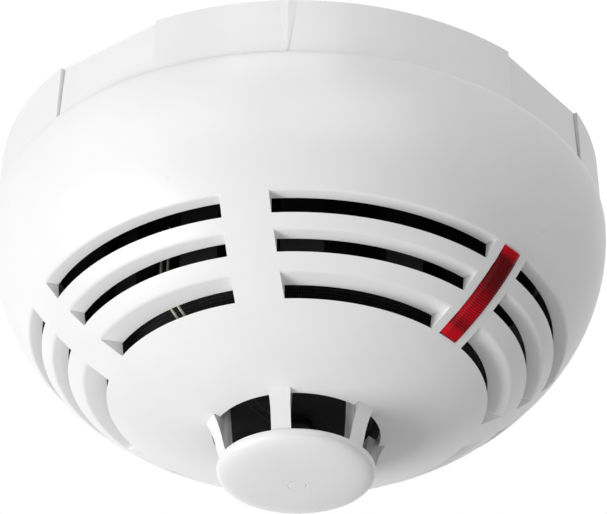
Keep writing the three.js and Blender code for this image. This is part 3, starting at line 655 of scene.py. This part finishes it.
def column_of(face):
    """Column of a placed face: the lowest of its points' columns, across the start too."""
    columns = {point[column_layer] for point in face.verts}
    return COLUMNS - 1 if columns == {0, COLUMNS - 1} else min(columns)


def patch(mesh, rib, row, facing_down):
    """The four faces of one rib, between a row and the next, that look down or that look up."""
    found = []
    for face in mesh.faces:
        column = column_of(face)
        rows = {point[row_layer] for point in face.verts}
        of_rib = on_rib(column) and round((column + 0.5) / FIELD_COLUMNS) % RIBS == rib
        if rows == {row, row + 1} and of_rib and (face.normal.z < 0) == facing_down:
            found.append(face)
    return found


def bezier(first, handle, last, share):
    rest = 1 - share
    return [rest * rest * a + 2 * rest * share * b + share * share * c
            for a, b, c in zip(first, handle, last)]


STATIONS = 8
FLARE = 0.35
OUTER_HANDLE = (15.2, -57.2)
INNER_START = (13.4, -53.75)
OUTER_END = (POST_OUTER, CAP_TOP)
INNER_END = (POST_INNER, CAP_TOP)
end_row = CAP_ROW + cap_profile.index(INNER_END)
for rib in range(RIBS):
    start = patch(cover, rib, foot_row, True)
    end = patch(cover, rib, end_row, False)
    loop = rim_edges(start)
    last_loop = rim_edges(end)
    bmesh.ops.delete(cover, geom=start + end, context="FACES")
    rib_angle = math.radians(FIRST_RIB + RIB_STEP * rib)
    along = polar(rib_angle, 1)
    sideways = Vector((-along.y, along.x, 0))
    for station in range(1, STATIONS):
        share = (station / STATIONS) ** 1.5
        made = bmesh.ops.extrude_edge_only(cover, edges=loop)["geom"]
        loop = [item for item in made if isinstance(item, bmesh.types.BMEdge)
                and all(end_point in made for end_point in item.verts)]
        outer = bezier(outside[foot_row], OUTER_HANDLE, OUTER_END, share)
        rise = (station - 1) / (STATIONS - 1)
        inner = [a + (b - a) * rise for a, b in zip(INNER_START, INNER_END)]
        flare = FLARE * (1 - share) ** 4
        for point in {end_point for edge in loop for end_point in edge.verts}:
            radius, level = outer if point[row_layer] == foot_row else inner
            half = post_half(radius) + flare
            offset = (point[column_layer] + HALF_FIELD) % FIELD_COLUMNS - HALF_FIELD
            across = sideways * half * offset / RIB_COLUMNS
            point.co = along * radius + across + Vector((0, 0, level))
    loose = [edge for edge in loop if len(edge.link_faces) == 1]
    bmesh.ops.bridge_loops(cover, edges=loose + last_loop)
bmesh.ops.recalc_face_normals(cover, faces=cover.faces)
print("open edges:", sum(not edge.is_manifold for edge in cover.edges))

# %% [markdown]
# The upper outer edge of each slot is well rounded and the others only break the light, so the
# edges are chosen by where they lie and bevelled in two goes.

# %% Round the slot edges
SLOT_TOP_ROUND = 0.4
SLOT_EDGE_ROUND = 0.14
SLOT_BEND = math.radians(25)
SKIN = 0.15
top_edges = []
fine_edges = []
for edge in cover.edges:
    if len(edge.link_faces) != 2 or edge.calc_face_angle(0) < SLOT_BEND:
        continue
    rows = {point[row_layer] for point in edge.verts}
    if max(rows) > last_slot_row or min(rows) < slot_rows[0]:
        continue
    middle = (edge.verts[0].co + edge.verts[1].co) / 2
    if middle.xy.length < radius_at(middle.z) - SKIN:
        continue
    is_top = len(rows) == 1 and rows <= set(slot_rows)
    (top_edges if is_top else fine_edges).append(edge)
round_edges(cover, top_edges, SLOT_TOP_ROUND, 3)
round_edges(cover, [edge for edge in fine_edges if edge.is_valid], SLOT_EDGE_ROUND, 2)
sharpen(cover, 32)

# %% Painted shade on the post sides
NOSE_REACH = 16.2
NOSE_LEVEL = -53.9


def on_post_side(face, middle):
    return middle.xy.length < NOSE_REACH and CAP_TOP < middle.z < NOSE_LEVEL


# Painted shade on the sides of the nose's posts, which lie in shadow.
mark_painted_shade(cover, on_post_side, 1.0)
finish_piece("louvred_cover", cover, "head", "cover", cover_white, "outer_cover")

# %% [markdown]
# ## The base
# Four arcs stand proud between four flats. The front and rear arcs end in small steps, and the two
# side arcs end in narrow upright grooves. The outline is one ring of points, pulled down for the
# skirt, and the ceiling face is filled between it and the rings of its openings.

# %% Outline of the base
BASE_RADIUS = 57.6
BASE_FLARE = 0.3
FLAT_FLARE = 0.6
SKIRT_BOTTOM = -11.75
SKIRT_WALL = 2.1
PLATE = 2.2
FLAT_DISTANCE = 55.8
FLAT_HALF = math.radians(11.25)
GROOVE_DEPTH = 54.8
GROOVE_WIDTH = 0.36
SIDE_ARC = 7
ARC_STEPS = 32
FLAT_STEPS = 8


def base_outline():
    """Angle and radius of each point of the outline, starting at a side arc's middle."""
    points = []
    for quarter in range(4):
        middle = math.radians(SIDE_ARC + 90 * quarter)
        grooved = quarter % 2 == 0
        flat_end = math.radians(45) - FLAT_HALF
        arc_end = flat_end - (GROOVE_WIDTH / BASE_RADIUS if grooved else 0)
        for i in range(ARC_STEPS + 1):
            points.append((middle + arc_end * (2 * i / ARC_STEPS - 1), BASE_RADIUS))
        if grooved:
            points += [(middle + arc_end, GROOVE_DEPTH), (middle + flat_end, GROOVE_DEPTH)]
        for i in range(FLAT_STEPS + 1):
            turn = FLAT_HALF * (2 * i / FLAT_STEPS - 1)
            points.append((middle + math.radians(45) + turn, FLAT_DISTANCE / math.cos(turn)))
        if not grooved:
            next_end = math.radians(45) + FLAT_HALF
            points += [(middle + next_end, GROOVE_DEPTH),
                       (middle + next_end + GROOVE_WIDTH / BASE_RADIUS, GROOVE_DEPTH)]
    return points


outline = base_outline()
print("outline points:", len(outline))

# %% [markdown]
# The ceiling side has the round cable opening, four screw slots and a ring of shallow pockets that
# save plastic. Their rings of points are drawn first, then one fill closes the face round them,
# and the rings of the holes are pulled down. The skirt's inside is a plain circle, so both points
# of a groove's wall fall onto one point there. They are merged, and the ring is picked afresh.

# %% Ceiling face
OPENING_RADIUS = 17
OPENING_STEPS = 72
RIM_RADIUS = 18.2
RIM_DROP = 1
SCREW_SLOT_ENDS = (26.3, 34.7)
SCREW_SLOT_HALF = 2.3
POCKETS = 16
POCKET_REACH = (42, 52)
POCKET_DEPTH = 0.9
POCKET_STEP = 360 / POCKETS
POCKET_RIB_HALF = 1.0
base = bmesh.new()


def ring(mesh, points):
    made = [mesh.verts.new(point) for point in points]
    return [mesh.edges.new(pair) for pair in zip(made, made[1:] + made[:1])]


def slot_ring(angle):
    """Points of a long hole with round ends, on the line from the axis at an angle."""
    start, end = SCREW_SLOT_ENDS
    points = []
    for centre, first in ((end, -90), (start, 90)):
        for i in range(9):
            round_end = polar(math.radians(first + 180 * i / 8), SCREW_SLOT_HALF)
            points.append(round_end + Vector((centre, 0, 0)))
    return [Matrix.Rotation(angle, 3, "Z") @ point for point in points]


def pocket_ring(angle):
    half = math.radians(POCKET_STEP / 2 - POCKET_RIB_HALF)
    arc = [half * (i / 3 - 1) for i in range(7)]
    near, far = POCKET_REACH
    return ([polar(angle + turn, far) for turn in arc]
            + [polar(angle + turn, near) for turn in reversed(arc)])


def fill(mesh, edges, dissolve=False):
    """Fill a level face between rings and return its faces."""
    made = bmesh.ops.triangle_fill(
        mesh, edges=edges, use_beauty=True, use_dissolve=dissolve, normal=(0, 0, 1),
    )["geom"]
    return [item for item in made if isinstance(item, bmesh.types.BMFace)]


outer_ring = ring(base, [polar(angle, radius) for angle, radius in outline])
opening = ring(base, [polar(turn, OPENING_RADIUS) for turn in steps(0, 2 * math.pi, OPENING_STEPS)])
slots = [ring(base, slot_ring(math.radians(SIDE_ARC + 90 * i))) for i in range(4)]
pockets = [ring(base, pocket_ring(math.radians(SIDE_ARC + POCKET_STEP * (i + 0.5))))
           for i in range(POCKETS)]
fill(base, outer_ring + opening + [edge for group in slots + pockets for edge in group])
print("ceiling face:", len(base.faces), "faces")


# %% Pull the rings down
NEAR = 0.1


def pull(mesh, edges, shift, reshape=None):
    """Extrude a ring of edges, move it and return the new ring."""
    made = bmesh.ops.extrude_edge_only(mesh, edges=edges)["geom"]
    points = [item for item in made if isinstance(item, bmesh.types.BMVert)]
    new_edges = [item for item in made if isinstance(item, bmesh.types.BMEdge)
                 and item.verts[0] in points and item.verts[1] in points]
    for point in points:
        point.co.z += shift
        if reshape:
            reshape(point)
    return new_edges


def flare_skirt(point):
    """Widen the skirt's lower edge: the flats more than the arcs, the grooves not at all."""
    reach = point.co.xy.length
    if reach > FLAT_DISTANCE - NEAR:
        amount = BASE_FLARE if reach > BASE_RADIUS - NEAR else FLAT_FLARE
        point.co.xy *= 1 + amount / reach


def to_circle(radius):
    def move(point):
        point.co.xy *= radius / point.co.xy.length
    return move


skirt_ring = pull(base, outer_ring, SKIRT_BOTTOM, flare_skirt)
inner_ring = pull(base, skirt_ring, 0, to_circle(FLAT_DISTANCE - SKIRT_WALL))
inner_points = list({point for edge in inner_ring for point in edge.verts})
bmesh.ops.remove_doubles(base, verts=inner_points, dist=ONE_POINT)
inner_ring = [edge for edge in base.edges if edge.is_boundary
              and all(point.co.z < SKIRT_BOTTOM / 2 for point in edge.verts)]
plate_ring = pull(base, inner_ring, -SKIRT_BOTTOM - PLATE)
opening_low = pull(base, opening, -PLATE - RIM_DROP)
rim_out = pull(base, opening_low, 0, to_circle(RIM_RADIUS))
rim_up = pull(base, rim_out, RIM_DROP)
slots_low = [pull(base, group, -PLATE) for group in slots]
for group in pockets:
    fill(base, pull(base, group, -POCKET_DEPTH), dissolve=True)
underside = fill(base, plate_ring + rim_up + [edge for group in slots_low for edge in group])
over_opening = [face for face in underside if face.calc_center_median().xy.length < OPENING_RADIUS]
print("underside:", len(underside), "faces, over the opening:", len(over_opening))
bmesh.ops.recalc_face_normals(base, faces=base.faces)
sharpen(base, 35)

# %% [markdown]
# The alignment mark is a thin wedge on the skirt with a crest down its middle, wide at the ceiling
# and narrow at the seam. It is the hull of nine points, three of them inside the skirt's wall.

# %% Alignment mark
MARK_ANGLE = math.radians(-92.3)
MARK_TOP = -0.15
MARK_HALF = 1.6 / BASE_RADIUS
MARK_CREST = 0.18
MARK_TIP = -11.55
MARK_TIP_HALF = 0.3 / BASE_RADIUS
MARK_TIP_CREST = 0.13
MARK_ROOT = BASE_RADIUS - 0.5


def skirt_radius(level):
    return BASE_RADIUS + BASE_FLARE * level / SKIRT_BOTTOM


tent = [
    polar(MARK_ANGLE - MARK_HALF, MARK_ROOT, MARK_TOP),
    polar(MARK_ANGLE + MARK_HALF, MARK_ROOT, MARK_TOP),
    polar(MARK_ANGLE, MARK_ROOT, MARK_TIP),
    polar(MARK_ANGLE - MARK_HALF, skirt_radius(MARK_TOP), MARK_TOP),
    polar(MARK_ANGLE + MARK_HALF, skirt_radius(MARK_TOP), MARK_TOP),
    polar(MARK_ANGLE - MARK_TIP_HALF, skirt_radius(MARK_TIP), MARK_TIP),
    polar(MARK_ANGLE + MARK_TIP_HALF, skirt_radius(MARK_TIP), MARK_TIP),
    polar(MARK_ANGLE, skirt_radius(MARK_TIP) + MARK_TIP_CREST, MARK_TIP),
    polar(MARK_ANGLE, BASE_RADIUS + MARK_CREST, MARK_TOP),
]
bmesh.ops.convex_hull(base, input=[base.verts.new(point) for point in tent])

# %% [markdown]
# Inside the base a keeper ring carries three ledges for the head's lugs, each with a stop at both
# ends of the twist, and four bosses carry the terminals.

# %% Keeper ring, ledges, stops and bosses
KEEPER_INNER = 46
KEEPER_OUTER = 48
KEEPER_LOW = -8.2
KEEPER_TOP = -2.0
LEDGES = 3
LEDGE_INNER = 42.9
LEDGE_OUTER = 46.4
LEDGE_TOP = -6.3
LEDGE_START = -14
LEDGE_ANGLE = 27
STOP_ANGLE = 3
LOCK_STOP_START = 10.6
LOCK_STOP_LOW = -7.25
FREE_STOP_START = -38.6
BOSSES = 4
BOSS_PLACE = (31, 0, -3.3)
BOSS_SIZE = (10, 10, 2.6)
BOSS_ANGLE = 52
BOSS_EDGE = 0.3


def turned_ring(mesh, profile, around=360.0, start=0.0):
    """A closed profile turned about the axis: right round, or a closed sector."""
    points = [mesh.verts.new(polar(math.radians(start), radius, level)) for radius, level in profile]
    whole = around >= 360
    if whole:
        seed = points + [mesh.edges.new(pair) for pair in zip(points, points[1:] + points[:1])]
    else:
        seed = [mesh.faces.new(points)]
    bmesh.ops.spin(
        mesh, geom=seed, cent=(0, 0, 0), axis=(0, 0, 1),
        angle=math.radians(around), steps=max(4, round(around / 3)), use_merge=whole,
    )


def box_profile(inner, outer, bottom, top):
    return [(inner, bottom), (outer, bottom), (outer, top), (inner, top)]


def ledge_ring(low, top, start, angle):
    """A sector between the ledges' two radii."""
    turned_ring(base, box_profile(LEDGE_INNER, LEDGE_OUTER, low, top), angle, start)


turned_ring(base, box_profile(KEEPER_INNER, KEEPER_OUTER, KEEPER_LOW, KEEPER_TOP))
for i in range(LEDGES):
    middle = SIDE_ARC + 360 / LEDGES * i
    ledge_ring(KEEPER_LOW, LEDGE_TOP, middle + LEDGE_START, LEDGE_ANGLE)
    ledge_ring(LOCK_STOP_LOW, KEEPER_TOP, middle + LOCK_STOP_START, STOP_ANGLE)
    ledge_ring(KEEPER_LOW, KEEPER_TOP, middle + FREE_STOP_START, STOP_ANGLE)
for i in range(BOSSES):
    turn = Matrix.Rotation(math.radians(BOSS_ANGLE + 90 * i), 4, "Z")
    place = turn @ Matrix.Translation(BOSS_PLACE) @ Matrix.Diagonal((*BOSS_SIZE, 1))
    boss = bmesh.ops.create_cube(base, size=1, matrix=place)["verts"]
    round_edges(base, list({edge for point in boss for edge in point.link_edges}), BOSS_EDGE, 1)

# %% Painted shade in two of the grooves
GROOVE_MARGIN = 0.3


def in_shaded_groove(face, middle):
    """Walls of the groove at the clockwise end of each side arc, which get painted shade."""
    turn = math.degrees(math.atan2(middle.y, middle.x)) - SIDE_ARC
    reaches = [point.co.xy.length for point in face.verts]
    at_groove = min(reaches) < GROOVE_DEPTH + GROOVE_MARGIN and max(reaches) > FLAT_DISTANCE
    return at_groove and turn % 180 > 90


bmesh.ops.recalc_face_normals(base, faces=base.faces)
# Painted shade on the walls of the two grooves that lie in shadow.
mark_painted_shade(base, in_shaded_groove, 1.2)
finish_piece("base_moulding", base, "base", "base", base_white, "base_shell")

# %% [markdown]
# ## The red light bar
# A clear red bar lies in the rib, a little proud of it. Its ends are plain and shine bright, and the
# stretch between carries fine ridges across it that spread the light. The bar is one cross-section
# swept along the dome in small steps, and every second ring of the ridged stretch is lifted a little.

# %% Light bar
LENS_TURN = math.radians(FIRST_RIB + RIB_STEP * LENS_RIB)
LENS_HALF = 2.12
LENS_PROUD = 0.3
RIDGE_HEIGHT = 0.07
LENS_START = dome_angle(50.05)
LENS_END = dome_angle(35.3)
LENS_RINGS = 84
RIDGED_FROM = 0.1
RIDGED_TO = 0.68
FACE_DEPTH = -0.2
half_section = [(1, -1.9), (1, -0.15), (0.9, 0), (0.45, 0.06)]
section = [(-side, height) for side, height in half_section] + [(0, 0.08)] + half_section[::-1]
lens = bmesh.new()
previous = None
for i in range(LENS_RINGS + 1):
    share = i / LENS_RINGS
    angle = LENS_START + (LENS_END - LENS_START) * share
    lift = RIDGE_HEIGHT if RIDGED_FROM < share < RIDGED_TO and i % 2 else 0
    points = []
    for side, height in section:
        proud = LENS_PROUD + height + (lift if height > FACE_DEPTH else 0)
        radius, level = dome_point(angle, -proud)
        points.append(lens.verts.new((radius, side * LENS_HALF + LENS_SHIFT, level)))
    edges = [lens.edges.new(pair) for pair in zip(points, points[1:] + points[:1])]
    if previous:
        bmesh.ops.bridge_loops(lens, edges=previous + edges)
    else:
        lens.faces.new(points)
    previous = edges
lens.faces.new(points)
bmesh.ops.rotate(lens, cent=(0, 0, 0), matrix=Matrix.Rotation(LENS_TURN, 3, "Z"), verts=lens.verts)
bmesh.ops.recalc_face_normals(lens, faces=lens.faces)
sharpen(lens, 40)

# %% [markdown]
# The bar is one clear red, and the changes of its tone along its length are painted light and shade for
# the light that passes through it, each a ramp between two radii. From the low end up it has a darker
# waist, its brightest stretch, a deeper and deeper red, and a lighter top.

# %% Red of the light bar
DEEPER = (40, 45)
WAIST_BEGINS = (36.6, 37.8)
WAIST_ENDS = (38.4, 39.8)
DEEPEST = (44.3, 45.9)
TOP_END = (49.0, 49.9)
RIDGES_BEGIN = (37.2, 37.8)
RIDGES_END = (48.7, 49.2)
RIDGE_WAVES = 16.5
red = Finish("clear_red_bar", Roughness=0.2, IOR=1.45, Specular_IOR_Level=0.16)
out = red.axes(red.turned(-math.degrees(LENS_TURN)))[0]
# Painted light and shade along the clear bar, ramp by ramp.
tone = red.blend(out.ramp(*DEEPER), rgb(0.93, 0.03, 0.13), rgb(0.64, 0.03, 0.1))
waist = out.ramp(*WAIST_BEGINS) * 0.3 + 0.35 - out.ramp(*WAIST_ENDS) * 0.65
tone = red.blend(waist, tone, rgb(0.6, 0.03, 0.09))
tone = red.blend(out.ramp(*DEEPEST), tone, rgb(0.47, 0.04, 0.07))
tone = red.blend(out.ramp(*TOP_END), tone, rgb(0.78, 0.03, 0.12))
ridge_zone = out.ramp(*RIDGES_BEGIN) * (1 - out.ramp(*RIDGES_END))
wave = (out * RIDGE_WAVES).sine() * 0.5 + 0.5
# Painted shade: dark waves over the ridged stretch stand for the shade between the ridges, and the
# noise adds random darker flecks.
shade = ridge_zone * wave * 0.75 + red.noise(500) * 0.2
red.set("Base Color", red.blend(shade, tone, rgb(0.3, 0.02, 0.04)))
finish_piece("light_bar", lens, "head", "lens", red.material, "indicator_lens")

# %% [markdown]
# ## Black parts behind the louvres
# The vane cage, the core behind it and the sensor holder are matt black mouldings. Their flat shapes in
# the imported model are right, so they stay and only get a finish: near black, with a faint sheen that
# differs from place to place. The holder's copy of the finish is darker still, as painted shade for the
# dark inside of the nose.

# %% Black plastic
def black_plastic(name, shade, roughness, sheen=0.5):
    finish = Finish(name, IOR=1.5, Specular_IOR_Level=sheen)
    light = shade + 0.03
    patches = finish.noise(140, 3).ramp(0.35, 0.65)
    colour = finish.blend(patches, rgb(shade, shade, shade), rgb(light, light, light + 0.003))
    finish.set("Base Color", colour)
    finish.set("Roughness", finish.noise(700, 3) * 0.16 + roughness)
    finish.bump(finish.noise(4200, 2), 0.000008, 0.5)
    return finish.material


def dress(material, *names):
    """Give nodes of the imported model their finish."""
    for name in names:
        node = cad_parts[name]
        if not node.material_slots:
            node.data.materials.append(material)
        for holder in node.material_slots:
            holder.material = material


dress(black_plastic("matt_black", 0.12, 0.4), "vane_cage", "baffle_core")
# A darker copy of the black plastic for the holder: painted shade for the dark inside of the nose.
dress(black_plastic("holder_shaded_black", 0.045, 0.5, 0.2), "sensor_holder")
dress(back_white, "head_back", "bayonet_ring")

# %% [markdown]
# ## The insect screen
# A cone of fine wire mesh closes the lowest louvres. Wires as thin as 0.2 mm are too many to model
# one by one, so two sets of bands, one round the cone and one down its slope, are drawn in the
# material: bright where a wire runs, near black in the holes.

# %% Mesh finish
WIRES_AROUND = 420
WIRES_DOWN = 21
WIRE_EDGE = (0.6, 0.85)
wire = Finish("fine_mesh", Metallic=0.3)
x, y, z = wire.axes()
around_wave = (y.math("ARCTAN2", y, x) * WIRES_AROUND).sine() * 0.5 + 0.5
down_wave = (z * WIRES_DOWN).sine() * 0.5 + 0.5
crossing = around_wave.ramp(*WIRE_EDGE).larger(down_wave.ramp(*WIRE_EDGE))
wire.set("Base Color", wire.blend(crossing, rgb(0.02, 0.02, 0.02), rgb(0.12, 0.12, 0.12)))
wire.set("Roughness", 0.85 - crossing * 0.25)
wire.bump(crossing, 0.00006)
dress(wire.material, "insect_screen")

# %% [markdown]
# ## The sensor
# Two tinned leads run down from the board, along the dome and into the nose, where a glazed bead senses
# the air. Near the board and at the holder they are near black, as painted shade for where they lie
# deep in the dark housing and nose. Between these the tin shows, half darkened by the painted shade
# above the lowest louvres and in full behind them, and it shows in full again at the bead. So one
# finish goes by height and by distance from the axis. The leads keep their shape.
# The bead is rebuilt as a drop that narrows to its leads.

# %% Leads
# Levels of the painted shade on the leads, from the top down.
FULL_SHADE_ENDS = -30
HALF_SHADE_ENDS = -39.8
NOSE_SHADE_BEGINS = -50.5
UNSHADED_REACH = 2.6
tin = Finish("tinned_wire")
x, y, z = tin.axes()
# Painted shade: the lead is near black high in the housing and in the nose, half dark above the lowest
# louvres, and shows its tin below that and near the bead.
unshaded = ((z < HALF_SHADE_ENDS) * 0.5 + 0.5) * (z > NOSE_SHADE_BEGINS) * (z < FULL_SHADE_ENDS)
unshaded = unshaded.larger(x.hypot(y) < UNSHADED_REACH)
tinned = tin.blend(tin.noise(900), rgb(0.97, 0.95, 0.88), rgb(0.84, 0.82, 0.77))
tin.set("Base Color", tin.blend(unshaded, rgb(0.05, 0.05, 0.05), tinned))
tin.set("Metallic", unshaded * 0.9)
tin.set("Roughness", tin.noise(1500) * 0.15 + 0.3)
dress(tin.material, "thermistor_lead_1", "thermistor_lead_2")

# %% Bead
BEAD_SLIM = 0.92
BEAD_TAPER = 0.25
bead_low, bead_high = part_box("thermistor_bead")
bead_middle = (bead_low[2] + bead_high[2]) / 2 / MM
bead_radius = (bead_high[2] - bead_low[2]) / 2 / MM
bead = bmesh.new()
bmesh.ops.create_uvsphere(bead, u_segments=24, v_segments=16, radius=bead_radius)
for point in bead.verts:
    height = max(0.0, point.co.z / bead_radius)
    point.co.xy *= (1 - BEAD_TAPER * height) * BEAD_SLIM
bmesh.ops.translate(bead, vec=(0, 0, bead_middle), verts=bead.verts)
sharpen(bead, 60)
glaze = Finish("glazed_bead", Roughness=0.15, Coat_Weight=0.8)
glaze.set("Base Color", glaze.blend(glaze.noise(1200), rgb(0.16, 0.05, 0.04), rgb(0.28, 0.09, 0.07)))
finish_piece("sensor_bead", bead, "head", "bead", glaze.material, "thermistor_bead")

# %% [markdown]
# ## Metal and the circuit board
# The terminals, springs, blades and screws are bronze and zinc-plated steel. Brushed noise along
# one axis and an uneven gloss make them read as metal. The board has a black solder mask with a
# faint net of tracks, since nothing green shows between the vanes, and its parts have their own
# finishes.

# %% Metals
def metal(name, light, dark, roughness, stretch):
    finish = Finish(name, Metallic=1.0)
    brushed = finish.noise(300, 4, finish.stretched(stretch))
    finish.set("Base Color", finish.blend(brushed.ramp(0.3, 0.7), light, dark))
    finish.set("Roughness", brushed * 0.18 + roughness)
    finish.bump(brushed, 0.00002, 0.4)
    return finish.material


bronze = metal("spring_bronze", rgb(0.88, 0.72, 0.42), rgb(0.74, 0.56, 0.3), 0.24, (1, 1, 12))
zinc = metal("zinc_plate", rgb(0.84, 0.85, 0.87), rgb(0.72, 0.73, 0.76), 0.25, (6, 6, 1))
for i in range(1, 5):
    dress(bronze, f"contact_spring_{i}", f"contact_blade_{i}")
    dress(zinc, f"terminal_clamp_{i}", f"terminal_screw_{i}")
for i in range(1, 4):
    dress(zinc, f"cover_screw_{i}")

# %% Board and its parts
mask = Finish("black_board", Roughness=0.5)
cells = mask.add(
    "ShaderNodeTexVoronoi",
    {"voronoi_dimensions": "3D", "feature": "DISTANCE_TO_EDGE"},
    {"Vector": mask.place, "Scale": 260},
)
track = 1 - Number(mask, cells.outputs["Distance"]).ramp(0.03, 0.07)
mask.set("Base Color", mask.blend(track, rgb(0.05, 0.055, 0.05), rgb(0.085, 0.09, 0.085)))
mask.bump(track, 0.00003)
dress(mask.material, "circuit_board")

dress(black_plastic("chip_epoxy", 0.12, 0.5), "control_chip")
dress(black_plastic("capacitor_sleeve", 0.2, 0.3), "loop_capacitor")
glow = Finish("red_lamp", Roughness=0.12)
glow.set("Base Color", glow.blend(glow.noise(800), rgb(0.7, 0.06, 0.07), rgb(0.56, 0.04, 0.05)))
dress(glow.material, "indicator_led")
